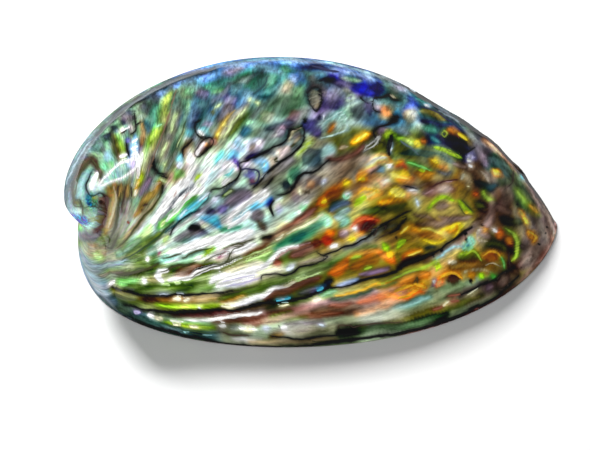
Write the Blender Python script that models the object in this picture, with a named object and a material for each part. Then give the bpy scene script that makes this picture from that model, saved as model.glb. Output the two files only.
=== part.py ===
"""A polished abalone shell lying mouth down, as one closed solid.

The shell grew by one rule: its mouth, an egg-shaped loop, turned about a tilted axis
and widened at an almost steady rate. Going back in time the loop shrinks towards the
apex of the spire. The outside is the outermost surface that these loops sweep; the
inside follows it a wall's thickness deeper, down to the flat rim of the mouth.

X runs along the shell, from the spire at -X to the front tip at +X. The growing lip is
at -Y, and the keel with its row of breathing holes at +Y. The mouth's rim lies in z = 0.
"""

import math

import bmesh
import bpy
import numpy as np
from mathutils import Matrix, Vector
from mathutils.bvhtree import BVHTree

# Driving dimensions, in metres. UNIT is the length that the shares below are taken of;
# the finished shell is 0.145 long.
UNIT = 0.150
WALL = 0.0026
LIP = 0.0026
SHELF = 0.0065
SHELF_HEIGHT = 0.0090
FOLD_DEPTH = 0.00045
WAVE_DEPTH = 0.00045
HOLE_RADII = (0.0027, 0.0026, 0.0024, 0.0022, 0.0020, 0.0018)
HOLE_DEPTH = 0.014
APEX_ROUNDING = 0.005

# The mouth's outline, as shares of UNIT: its half length and half width, and what makes
# it egg-shaped, pointed at the front and blunt at the spire
HALF_LENGTH = 0.5
HALF_WIDTH = 0.310
PULL_X2 = -0.0222
PULL_X3 = -0.0301
PULL_Y2 = -0.0658
PULL_Y3 = -0.0298
PULL_Y4 = -0.0038
SKEW_Y1 = -0.0397
SKEW_Y2 = -0.0120
SKEW_Y3 = 0.0133

# Growth, in shares and radians: the apex, the axis that the mouth turned about, how fast
# it widened, how far back the spire goes, and before which turn the mouth was a plain oval
APEX = np.array((-0.4796, -0.0882, 0.2344))
GROWTH_AXIS = np.array((-0.7343, -0.6544, 1.0))
WIDENING = 0.3423
WIDENING_OLD = 0.3797
OLDEST_TURN = 6.6
OVAL_BEFORE = 1.0

# The breathing holes lie in a row that spirals with the growth, just under the keel
HOLE_ANGLE = math.radians(22)
HOLE_TURNS = (0.13, 0.23, 0.34, 0.46, 0.59, 0.73)

# The shell's place: its length is turned to lie along X, and its box is centred
YAW = math.radians(4.0)
MIDDLE = np.array((-0.0323, 0.0196, 0.0))

# The steep wall under the keel and around the blunt end below the spire: how high it
# rises, how far in it leans, between which angles of the mouth it stands, and from which
# angle on it stays lower to meet the spire
WALL_RISE = 0.21
WALL_RISE_AT_SPIRE = 0.11
WALL_LEAN = 0.20
WALL_START = math.radians(40)
WALL_END = math.radians(222)
WALL_FADE = math.radians(35)
WALL_LOWERS = math.radians(95)
WALL_LOWERS_OVER = math.radians(55)

# Where the surface is seen from: rays run from this point, which lies on the growth axis
# below the apex, through a dome over the mouth
HEART = APEX - 0.18 * GROWTH_AXIS
DOME_TOP = np.array((-0.16, 0.00, 0.30))

# Low on the steep wall and at the apex the surface is evened out: below which height, in
# shares, over how much of it this sets in, and how many times
EVEN_BELOW = 0.22
EVEN_FADE = 0.06
EVEN_TIMES = 6

# The shelf that thickens the wall inside, along the keel side: its middle and its spread
SHELF_MIDDLE = math.radians(112)
SHELF_SPREAD = math.radians(52)
STEEPEST_SLANT = 0.55

# Folds run along the growth lines near the spire, and short waves cross them in front:
# where around the mouth they are strongest, at which ages (in logarithms of shrinkage),
# and over how much of either they fade
FOLDS_MIDDLE = math.radians(222)
FOLDS_SPREAD = 0.9
FOLD_STEP = 0.095
FOLD_SWAY = 0.9
YOUNG_FOLDS_AGE = 0.15
YOUNG_FOLDS_SPREAD = 0.22
OLD_FOLDS_AGE = 0.75
OLD_FOLDS_SPREAD = 0.35
WAVES_MIDDLE = math.radians(-20)
WAVES_SPREAD = 0.55
WAVES_AGE = 0.22
WAVES_AGE_SPREAD = 0.20
WAVES_AROUND = 20.0
WAVES_SLANT = 14.0
RELIEF_FADE_RINGS = 2.5

# How finely the growth is swept, and how finely the solid is faceted
SWEEP_TURNS = 220
SWEEP_ANGLES = 240
AROUND = 100
OUTER_RINGS = 30
INNER_RINGS = 15
WALL_STEPS = 24
HOLE_SIDES = 16


def bell(value, middle, spread):
    """1 at the middle, falling smoothly to nothing about two spreads away."""
    return np.exp(-(((value - middle) / spread) ** 2))


def wrapped(angles):
    """Angles brought into -pi to pi."""
    return (angles + math.pi) % (2 * math.pi) - math.pi


def eased(value):
    """0 below 0, 1 above 1, and a smooth step between."""
    value = np.clip(value, 0.0, 1.0)
    return value * value * (3 - 2 * value)


def wall_strength(angles):
    """1 where the steep wall stands and 0 where there is none, by the mouth's angle."""
    around = angles % (2 * math.pi)
    return eased((around - WALL_START) / WALL_FADE) * eased((WALL_END - around) / WALL_FADE)


def wall_rise(angles):
    """How high the steep wall rises: up to the keel, and lower where it meets the spire."""
    around = angles % (2 * math.pi)
    lower = eased((around - WALL_LOWERS) / WALL_LOWERS_OVER)
    rise = WALL_RISE + (WALL_RISE_AT_SPIRE - WALL_RISE) * lower
    return rise * wall_strength(angles)


def mouth_outline(angles, turn=0.0):
    """The rim of the mouth in its own plane, as shares of UNIT; the young mouth was an oval."""
    egg = math.exp(-((turn / OVAL_BEFORE) ** 2))
    x = HALF_LENGTH * np.cos(angles)
    x += egg * (PULL_X2 * np.cos(2 * angles) + PULL_X3 * np.cos(3 * angles))
    pull = PULL_Y2 * np.sin(2 * angles) + PULL_Y3 * np.sin(3 * angles) + PULL_Y4 * np.sin(4 * angles)
    skew = SKEW_Y1 * np.cos(angles) + SKEW_Y2 * np.cos(2 * angles) + SKEW_Y3 * np.cos(3 * angles)
    y = HALF_WIDTH * np.sin(angles) + egg * (pull + skew)
    return np.stack([x, y, np.zeros_like(x)], axis=-1)


def shrinkage(turn):
    """The natural logarithm of how much smaller the mouth was this many radians ago."""
    return WIDENING * turn + WIDENING_OLD * turn * turn / (1 + turn)


def grown_loop(turn, angles):
    """The mouth's rim when the shell was this many radians of growth younger."""
    back = Matrix.Rotation(turn, 3, Vector(GROWTH_AXIS))
    rim = mouth_outline(angles, turn) - APEX
    return APEX + math.exp(-shrinkage(turn)) * rim @ np.array(back).T


def placed(points):
    """Shares of UNIT, turned and centred and made metres."""
    spin = np.array(Matrix.Rotation(YAW, 3, "Z"))
    return UNIT * (points @ spin.T - MIDDLE)


def end_wall(share, angles):
    """The steep wall under the spire: share 0 is on the rim, 1 is its top edge, further in."""
    rim = mouth_outline(angles)
    inward = WALL_LEAN * share * share
    wall = rim + (HEART * (1, 1, 0) - rim) * inward
    wall[:, 2] = wall_rise(angles) * share
    return wall


def quads_between(rows, columns, start):
    """The quads of a grid whose columns close into rings."""
    quads = []
    for row in range(rows - 1):
        for column in range(columns):
            here = start + row * columns + column
            beside = start + row * columns + (column + 1) % columns
            quads.append((here, beside, beside + columns, here + columns))
    return quads


class Growth:
    """The surfaces that bound the shell, which rays are cast at."""

    def __init__(self):
        self.turns = np.linspace(0.0, OLDEST_TURN, SWEEP_TURNS)
        self.angles = np.linspace(0.0, 2 * math.pi, SWEEP_ANGLES, endpoint=False)
        loops = [grown_loop(turn, self.angles) for turn in self.turns]
        walls = [end_wall(share, self.angles) for share in np.linspace(0.0, 1.0, WALL_STEPS)]
        self.corners = placed(np.concatenate(loops + walls))
        self.quads = quads_between(len(loops), SWEEP_ANGLES, 0)
        self.swept = len(self.quads)
        self.quads += quads_between(len(walls), SWEEP_ANGLES, len(loops) * SWEEP_ANGLES)
        self.tree = BVHTree.FromPolygons(self.corners.tolist(), self.quads)

    def outermost(self, direction):
        """How far the outside is from the heart this way, and the turn and angle there."""
        heart = Vector(placed(HEART))
        ray = Vector(direction)
        place, _, index, _ = self.tree.ray_cast(heart + ray * UNIT, -ray)
        reach = (place - heart).length
        corner, beside, _, older = self.corners[list(self.quads[index])]
        along = self.share(place, corner, beside)
        back = self.share(place, corner, older)
        row, column = divmod(index % self.swept, SWEEP_ANGLES)
        angle = (column + along) * 2 * math.pi / SWEEP_ANGLES
        if index >= self.swept:
            return reach, 0.0, angle
        return reach, (row + back) * OLDEST_TURN / (SWEEP_TURNS - 1), angle

    @staticmethod
    def share(place, start, end):
        edge = end - start
        return float(np.dot(np.array(place) - start, edge) / max(np.dot(edge, edge), 1e-12))


def dome_direction(height_share, angles):
    """From the heart through the dome: 0 is the dome's top, 1 is the mouth's rim."""
    phase = 0.5 * math.pi * height_share
    dome = math.cos(phase) * DOME_TOP + math.sin(phase) * mouth_outline(angles)
    away = placed(dome) - placed(HEART)
    return away / np.linalg.norm(away, axis=-1, keepdims=True)


def relief(turn, angle):
    """The low folds along the growth lines and the waves across them, in metres."""
    age = shrinkage(turn)
    side = wrapped(angle)
    near_spire = bell(wrapped(angle - FOLDS_MIDDLE), 0.0, FOLDS_SPREAD)
    phase = 2 * math.pi * age / FOLD_STEP
    young = np.sin(phase + FOLD_SWAY * np.sin(2 * side)) * bell(age, YOUNG_FOLDS_AGE, YOUNG_FOLDS_SPREAD)
    old = np.sin(phase / 2 + FOLD_SWAY * np.sin(3 * side)) * bell(age, OLD_FOLDS_AGE, OLD_FOLDS_SPREAD)
    front = bell(side, WAVES_MIDDLE, WAVES_SPREAD) * bell(age, WAVES_AGE, WAVES_AGE_SPREAD)
    wave = np.sin(WAVES_AROUND * side + WAVES_SLANT * age + 1.5 * np.sin(2 * WAVES_SLANT * age))
    return FOLD_DEPTH * near_spire * (young + old) + WAVE_DEPTH * front * wave


def smoothed(reach, strength, times):
    """Reaches evened out with their neighbours, as strongly as asked at each point."""
    for _ in range(times):
        beside = (np.roll(reach, 1, axis=1) + np.roll(reach, -1, axis=1)) / 2
        above = np.vstack([reach[:1], reach[:-1]])
        below = np.vstack([reach[1:], reach[-1:]])
        even = 0.5 * beside + 0.25 * (above + below)
        reach = reach + 0.5 * strength * (even - reach)
    return reach


def cast_rings(growth, count):
    """Rings of directions with how far the outside is and its relief, rim left out."""
    angles = np.linspace(0.0, 2 * math.pi, AROUND, endpoint=False)
    directions = np.array([dome_direction(step / count, angles) for step in range(count)])
    found = np.array([[growth.outermost(way) for way in ring] for ring in directions])
    outside = placed(HEART) + directions * found[..., :1]
    low = eased((EVEN_BELOW - outside[..., 2] / UNIT) / EVEN_FADE)
    near_apex = bell(np.linalg.norm(outside - placed(APEX), axis=-1), 0.0, APEX_ROUNDING)
    reach = smoothed(found[..., 0], np.maximum(low * wall_strength(angles), near_apex), EVEN_TIMES)
    return angles, directions, reach, relief(found[..., 1], found[..., 2])


def outer_rings(growth):
    """The outside as rings of points, from the dome's top down to the rim."""
    angles, directions, reach, raised = cast_rings(growth, OUTER_RINGS)
    rings_to_rim = np.arange(OUTER_RINGS)[::-1]
    raised = raised * np.minimum(1.0, rings_to_rim / RELIEF_FADE_RINGS)[:, None]
    points = placed(HEART) + directions * (reach + raised)[..., None]
    return list(points) + [placed(mouth_outline(angles))]


def thickness(points, angles):
    """How thick the wall is: thicker along the keel side's shelf, which fades upwards."""
    shelf_side = bell(wrapped(angles - SHELF_MIDDLE), 0.0, SHELF_SPREAD)
    low = np.clip(points[..., 2] / SHELF_HEIGHT, 0.0, 2.0)
    roll = np.sin(0.5 * math.pi * low) ** 2
    return WALL + SHELF * shelf_side * roll


def inner_rings(growth):
    """The inside as rings of points, from the top down to the flat rim's inner edge."""
    angles, directions, reach, _ = cast_rings(growth, INNER_RINGS)
    reach = smoothed(reach, 1.0, EVEN_TIMES // 2)
    outside = placed(HEART) + directions * reach[..., None]
    around = np.roll(outside, -1, axis=1) - np.roll(outside, 1, axis=1)
    down = np.gradient(outside, axis=0)
    facing = np.cross(down, around)
    facing /= np.maximum(np.linalg.norm(facing, axis=-1, keepdims=True), 1e-9)
    slant = np.clip(np.abs((facing * directions).sum(axis=-1)), STEEPEST_SLANT, 1.0)
    slant[0] = 1.0
    depth = thickness(outside, angles) / slant
    points = placed(HEART) + directions * (reach - depth)[..., None]
    rim = placed(mouth_outline(angles))
    along = np.roll(rim, -1, axis=0) - np.roll(rim, 1, axis=0)
    inward = np.stack([-along[:, 1], along[:, 0], np.zeros(AROUND)], axis=-1)
    inward /= np.linalg.norm(inward, axis=-1, keepdims=True)
    return list(points) + [rim + LIP * inward]


def add_surface(body, rings, outward):
    """A cap of rings that closes to one point at the top; returns its lowest ring."""
    pole = body.verts.new(rings[0].mean(axis=0))
    rows = [[body.verts.new(point) for point in ring] for ring in rings[1:]]
    for column in range(AROUND):
        following = (column + 1) % AROUND
        faces = [(pole, rows[0][column], rows[0][following])]
        for upper, lower in zip(rows[:-1], rows[1:]):
            faces.append((upper[column], lower[column], lower[following], upper[following]))
        for corners in faces:
            body.faces.new(corners if outward else corners[::-1])
    return rows[-1]


def new_object(name, body):
    mesh = bpy.data.meshes.new(name)
    body.to_mesh(mesh)
    body.free()
    mesh.shade_smooth()
    mesh.set_sharp_from_angle(angle=math.radians(50))
    made = bpy.data.objects.new(name, mesh)
    bpy.context.collection.objects.link(made)
    return made


def make_shell(growth):
    """The outside, the inside and the flat rim between them, as one closed surface."""
    body = bmesh.new()
    outer = add_surface(body, outer_rings(growth), True)
    inner = add_surface(body, inner_rings(growth), False)
    for column in range(AROUND):
        following = (column + 1) % AROUND
        body.faces.new((outer[column], inner[column], inner[following], outer[following]))
    return new_object("abalone_shell", body)


def make_hole_cutters(growth):
    """One rod for each breathing hole, square to the surface, as one cutting object."""
    heart = Vector(placed(HEART))
    body = bmesh.new()
    for turn, radius in zip(HOLE_TURNS, HOLE_RADII):
        middle = Vector(placed(grown_loop(turn, np.array([HOLE_ANGLE])))[0])
        away = (middle - heart).normalized()
        _, facing, _, _ = growth.tree.ray_cast(heart + away * UNIT, -away)
        upright = facing.to_track_quat("Z", "Y").to_matrix().to_4x4()
        bmesh.ops.create_cone(
            body,
            cap_ends=True,
            segments=HOLE_SIDES,
            radius1=radius,
            radius2=radius,
            depth=HOLE_DEPTH,
            matrix=Matrix.Translation(middle) @ upright,
        )
    cutters = new_object("hole_cutters", body)
    cutters.hide_render = True
    cutters.display_type = "WIRE"
    return cutters


def cut(body, cutters):
    pierced = body.modifiers.new("breathing_holes", "BOOLEAN")
    pierced.operation = "DIFFERENCE"
    pierced.solver = "EXACT"
    pierced.object = cutters


def nacre():
    material = bpy.data.materials.new("nacre")
    material.use_nodes = True
    shader = material.node_tree.nodes["Principled BSDF"]
    shader.inputs["Base Color"].default_value = (0.30, 0.42, 0.36, 1.0)
    shader.inputs["Roughness"].default_value = 0.18
    shader.inputs["Metallic"].default_value = 0.55
    return material


for thing in list(bpy.data.objects):
    bpy.data.objects.remove(thing)

grown = Growth()
shell = make_shell(grown)
shell.data.materials.append(nacre())
cut(shell, make_hole_cutters(grown))
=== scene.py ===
"""The looks of a polished abalone shell: its fine form, its nacre, the stage and the camera.

The shell is built by the rule of growth that its solid follows, with far more points: its
mouth turned about a tilted axis and widened. Each point knows when it grew (its age) and
where around the mouth it lies (its angle), and the nacre is coloured along those lines.
Highlights, reflections and some shade are painted into that colour as well.
"""

import itertools
import math
from collections import namedtuple

import bmesh
import bpy
import numpy as np
from mathutils import Matrix, Vector
from mathutils.bvhtree import BVHTree
from mathutils.kdtree import KDTree


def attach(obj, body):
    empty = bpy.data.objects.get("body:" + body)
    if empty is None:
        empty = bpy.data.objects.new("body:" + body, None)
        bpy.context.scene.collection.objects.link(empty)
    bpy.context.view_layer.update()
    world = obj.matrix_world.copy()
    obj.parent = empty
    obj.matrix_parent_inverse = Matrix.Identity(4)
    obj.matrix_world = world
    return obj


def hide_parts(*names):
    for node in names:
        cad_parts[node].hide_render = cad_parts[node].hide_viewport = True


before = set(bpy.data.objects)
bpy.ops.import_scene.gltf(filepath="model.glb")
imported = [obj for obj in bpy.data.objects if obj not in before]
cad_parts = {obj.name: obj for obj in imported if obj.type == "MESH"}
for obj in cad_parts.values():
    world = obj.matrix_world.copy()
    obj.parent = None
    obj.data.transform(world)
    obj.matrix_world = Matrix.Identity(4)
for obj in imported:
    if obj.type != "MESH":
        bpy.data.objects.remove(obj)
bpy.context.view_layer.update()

# The solid's own dimensions, in metres and in shares of UNIT, and its rule of growth
UNIT = 0.150
WALL = 0.0026
LIP = 0.0026
SHELF = 0.0065
SHELF_HEIGHT = 0.0090
HALF_LENGTH = 0.5
HALF_WIDTH = 0.310
PULL_X2 = -0.0222
PULL_X3 = -0.0301
PULL_Y2 = -0.0658
PULL_Y3 = -0.0298
PULL_Y4 = -0.0038
SKEW_Y1 = -0.0397
SKEW_Y2 = -0.0120
SKEW_Y3 = 0.0133
APEX = np.array((-0.4796, -0.0882, 0.2344))
GROWTH_AXIS = np.array((-0.7343, -0.6544, 1.0))
WIDENING = 0.3423
WIDENING_OLD = 0.3797
OLDEST_TURN = 6.6
OVAL_BEFORE = 1.0
HOLE_ANGLE = math.radians(22)
HOLE_TURNS = (0.13, 0.23, 0.34, 0.46, 0.59, 0.73)
HOLE_RADII = (0.0027, 0.0026, 0.0024, 0.0022, 0.0020, 0.0018)
HOLE_DEPTH = 0.014
SEALED_TURNS = (0.88, 1.04, 1.21, 1.40, 1.60)
SEALED_RADII = (0.0015, 0.0013, 0.0011, 0.0009, 0.0008)
YAW = math.radians(4.0)
MIDDLE = np.array((-0.0323, 0.0196, 0.0))
WALL_RISE = 0.21
WALL_RISE_AT_SPIRE = 0.11
WALL_LEAN = 0.20
WALL_START = math.radians(40)
WALL_END = math.radians(222)
WALL_FADE = math.radians(35)
WALL_LOWERS = math.radians(95)
WALL_LOWERS_OVER = math.radians(55)
HEART = APEX - 0.18 * GROWTH_AXIS
DOME_TOP = np.array((-0.16, 0.00, 0.30))
EVEN_BELOW = 0.22
EVEN_FADE = 0.06
SHELF_MIDDLE = math.radians(112)
SHELF_SPREAD = math.radians(52)
STEEPEST_SLANT = 0.55
APEX_ROUNDING = 0.0045

# How finely the growth is swept, and the cells across and up the outside's and the inside's
# grid; the near side gets more of them than the far side
SWEEP_TURNS = 420
SWEEP_ANGLES = 480
WALL_STEPS = 60
OUTER_CELLS = (360, 228)
INNER_CELLS = (120, 76)
NEAR_SHARE = 0.2
JUST_ABOVE_RIM = 0.9995
EDGE_ROUND = 0.00035

# The camera, as the photograph was taken: 590 by 451 pixels, from the front and above
PHOTO_WIDTH = 590
PHOTO_HEIGHT = 451
EYE = Vector((-0.08145, -0.71324, 0.5609))
AIM = Vector((-0.00585, -0.00694, 0.0082))
FOCAL_PIXELS = 3084.6
SENSOR = 36.0


# A brush: how fully it covers, how soft its edges are, how much it narrows at its ends, how
# much the growth streaks break it up, how ragged and how deep in tone its edges are, how much
# it glows into what lies around it, and how far it lifts the surface, in metres
Brush = namedtuple("Brush", "strength softness taper grain ragged depth glow lift")
WASH = Brush(0.92, 1.0, 0.0, 0.3, 1.0, 0.0, 0.0, 0.0)
BAND = Brush(0.88, 1.4, 0.85, 0.30, 1.3, 0.4, 0.40, 0.00008)
SPOT = Brush(0.90, 0.9, 0.0, 0.1, 0.6, 0.3, 0.0, 0.0)
LINE = Brush(0.66, 0.7, 0.8, 0.10, 0.4, 0.0, 0.20, -0.00014)
# GLINT paints bright marks; its white and pale ones are painted highlights, the lights' reflections on the polished
# nacre, and their sharp cores are the gleams
GLINT = Brush(0.95, 1.0, 0.8, 0.15, 0.8, 0.8, 0.30, 0.00012)

# The nacre's colours, as they are seen; WHITE, ICE and CREAM mostly paint highlights
WHITE = (252, 252, 250)
CREAM = (238, 236, 200)
ICE = (212, 228, 238)
CYAN = (120, 222, 235)
BRIGHT_CYAN = (80, 195, 222)
AQUA = (150, 205, 205)
PALE_AQUA = (176, 216, 206)
MINT = (150, 182, 166)
BRIGHT_MINT = (150, 228, 168)
SEA_GREEN = (76, 158, 126)
TEAL = (48, 120, 122)
DEEP_TEAL = (28, 66, 72)
GREEN = (92, 160, 92)
BRIGHT_GREEN = (132, 218, 112)
PALE_GREEN = (196, 226, 150)
YELLOW_GREEN = (170, 202, 56)
LIME = (172, 218, 24)
OLIVE = (112, 116, 50)
OLIVE_GREEN = (98, 122, 52)
DARK_OLIVE = (58, 60, 30)
DARK_GREEN = (44, 66, 36)
SAGE = (156, 168, 132)
SAGE_GREEN = (114, 154, 124)
BEIGE = (184, 172, 134)
STONE = (142, 140, 120)
GOLD = (226, 172, 38)
YELLOW = (250, 222, 36)
PALE_YELLOW = (252, 236, 96)
AMBER = (186, 124, 34)
OCHRE = (158, 128, 60)
ORANGE = (242, 152, 52)
PEACH = (238, 170, 112)
RED_ORANGE = (224, 100, 48)
RUST = (142, 84, 62)
MAROON = (132, 54, 44)
DARK_MAROON = (74, 38, 34)
BROWN = (112, 86, 62)
DARK_BROWN = (60, 46, 36)
ROSE_BROWN = (158, 118, 104)
ROSE = (176, 138, 132)
PLUM = (112, 72, 88)
MAGENTA = (150, 76, 104)
MAUVE = (148, 126, 134)
MAUVE_BROWN = (128, 104, 92)
MAUVE_GREY = (116, 108, 116)
LILAC = (176, 170, 204)
VIOLET = (118, 112, 188)
VIOLET_GREY = (122, 118, 160)
INDIGO = (66, 58, 146)
NAVY = (36, 40, 84)
ULTRAMARINE = (50, 50, 166)
COBALT = (62, 82, 226)
AZURE = (112, 160, 226)
SKY = (104, 182, 236)
STEEL = (84, 130, 156)
SLATE = (92, 112, 120)
DARK_SLATE = (58, 72, 80)
GREY = (130, 132, 136)
SILVER = (186, 190, 184)
GREY_BLUE = (142, 162, 172)
PALE_BLUE = (154, 184, 198)
GREY_TEAL = (96, 132, 124)
BRONZE = (172, 132, 54)
GOLDEN_OLIVE = (164, 142, 42)
FERN = (140, 186, 150)
PALE_MINT = (190, 222, 206)
TEAL_BLUE = (78, 140, 158)
BLACK = (10, 10, 10)

# Every stroke below has a name, a brush, a colour, a width in the photo's pixels, and one or
# more paths of x,y places in the photo that it follows
GROUND = (
    ("base, top left", WASH, FERN, 60, "96,190 112,150 150,120 190,100"),
    ("base, top", WASH, STEEL, 56, "190,106 230,90 280,84 330,84 380,96 430,118"),
    ("base, middle", WASH, MINT, 60, "210,190 260,170 310,150 350,140 420,150"),
    ("base, right", WASH, GOLDEN_OLIVE, 70, "330,210 390,190 450,190 500,200"),
    ("base, right end", WASH, BROWN, 50, "490,160 520,195 534,230 520,260"),
    ("base, lower right", WASH, GOLDEN_OLIVE, 60, "330,260 400,250 460,240 500,260"),
    ("base, left", WASH, PALE_MINT, 60, "150,230 190,215 240,205 280,210"),
    ("base, lower left", WASH, OLIVE_GREEN, 60, "96,260 160,280 230,285 300,270"),
    ("base, foot", WASH, SAGE, 50, "110,300 150,322 200,334 300,338 400,322 480,296"),
    # The pale blue along the left edge and the crest is partly the nacre's blue and partly a painted reflection of the
    # pale surround
    ("edge beside the spire", WASH, PALE_BLUE, 12, "66,224 65,205 68,186 75,168 85,151 97,136"),
    ("spire's bulb", WASH, PALE_AQUA, 26, "86,218 86,200 92,184 101,172"),
    ("shoulder", WASH, FERN, 30, "96,165 106,142 124,122 148,106 172,94"),
    ("shoulder's inner side", WASH, SAGE_GREEN, 26, "140,196 152,172 164,148 178,120 192,98"),
    ("crest", WASH, AZURE, 14, "178,82 205,73 235,65 275,61 315,63 350,71 378,79"),
    ("crest's right end", WASH, GREY_BLUE, 13, "378,79 402,87 424,97 446,110"),
    ("green under the crest", WASH, TEAL_BLUE, 20, "196,96 222,85 255,78 290,74"),
    ("blue under the crest", WASH, STEEL, 24, "190,122 206,108 234,97 262,89"),
    ("green middle", WASH, SAGE_GREEN, 28, "226,140 244,126 268,112 294,98"),
    ("grey middle", WASH, GREY_TEAL, 24, "262,142 284,132 306,118"),
    ("violet field", WASH, VIOLET_GREY, 28, "318,128 326,106 340,92 358,86"),
    ("cobalt field", WASH, ULTRAMARINE, 18, "338,76 356,84 374,88"),
    ("mint field", WASH, MINT, 24, "318,134 338,122 360,116"),
    ("blue right of the middle", WASH, STEEL, 26, "372,118 396,122 414,106 420,98"),
    ("teal right side", WASH, TEAL, 22, "420,102 436,114 452,124"),
    ("dim green band", WASH, OLIVE, 26, "318,150 344,144 372,142 398,144 424,146"),
    ("navy right side", WASH, NAVY, 22, "434,138 454,146 470,154"),
    ("grey right side", WASH, MAUVE_GREY, 18, "470,132 486,148 500,160"),
    # The pale fan here and the white and cream bands below are painted highlight, under the fan's white streaks
    ("ice fan", WASH, PALE_MINT, 34, "150,232 172,210 196,190 218,168 240,150"),
    ("violet-grey middle", WASH, GREY_BLUE, 26, "212,214 236,204 262,196"),
    ("stone middle", WASH, SAGE, 26, "262,188 280,174 302,160 318,150"),
    ("slate middle", WASH, MINT, 20, "292,184 308,168 326,156"),
    ("rose middle", WASH, ROSE, 30, "300,192 322,180 342,170 362,166"),
    ("brown behind the flames", WASH, BRONZE, 34, "330,206 366,192 402,186 440,188 470,190"),
    ("olive behind the flames", WASH, GOLDEN_OLIVE, 34, "330,222 366,212 400,212 440,214 476,206"),
    ("stone right side", WASH, BROWN, 34, "478,176 492,196 494,220"),
    ("tip", WASH, MAUVE_BROWN, 30, "540,214 544,232 534,250"),
    ("green right side", WASH, DARK_GREEN, 20, "494,164 510,182 526,202"),
    ("brown right end", WASH, DARK_BROWN, 22, "486,246 506,248 522,252"),
    ("mauve right end", WASH, MAUVE_BROWN, 16, "514,266 526,262 538,252"),
    ("white bands", WASH, PALE_MINT, 30, "168,250 196,246 226,240 256,228"),
    ("cream bands", WASH, CREAM, 26, "230,262 256,246 280,234"),
    ("green band below them", WASH, SEA_GREEN, 16, "280,246 300,236 322,226"),
    ("dim flames", WASH, BRONZE, 34, "330,240 360,236 396,240 436,236"),
    ("lower flames", WASH, GOLDEN_OLIVE, 30, "336,270 366,264 400,258 436,250"),
    ("lower right", WASH, GOLDEN_OLIVE, 30, "356,290 396,280 436,268 470,256"),
    ("right bronze", WASH, BRONZE, 26, "440,276 470,266 500,262"),
    ("notch side", WASH, GREY_BLUE, 26, "84,258 92,276 106,294"),
    ("notch side, inner", WASH, SAGE, 22, "94,250 108,254 122,262"),
    ("olive lower left", WASH, OLIVE_GREEN, 26, "124,286 160,288 200,286 232,280"),
    ("lower left", WASH, OLIVE, 24, "118,300 150,304 190,306 230,304"),
    ("foot, left", WASH, GREY_TEAL, 20, "110,306 140,320 176,330 214,336"),
    ("white lower middle", WASH, CREAM, 24, "228,290 252,284 276,278"),
    ("olive lower middle", WASH, OLIVE, 24, "232,296 262,290 296,280 326,268"),
    ("rose lower middle", WASH, ROSE_BROWN, 26, "226,318 262,314 304,308 350,304 396,298"),
    ("foot, middle", WASH, SAGE, 20, "230,334 266,334 304,332 346,324 384,316"),
    ("foot, right", WASH, SAGE, 22, "384,314 416,304 446,294 470,286"),
    ("foot, far right", WASH, MAUVE_BROWN, 18, "470,296 492,286 508,276"),
    ("dark foot", WASH, DARK_GREEN, 12, "340,334 376,329 410,323 440,316"),
)
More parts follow.
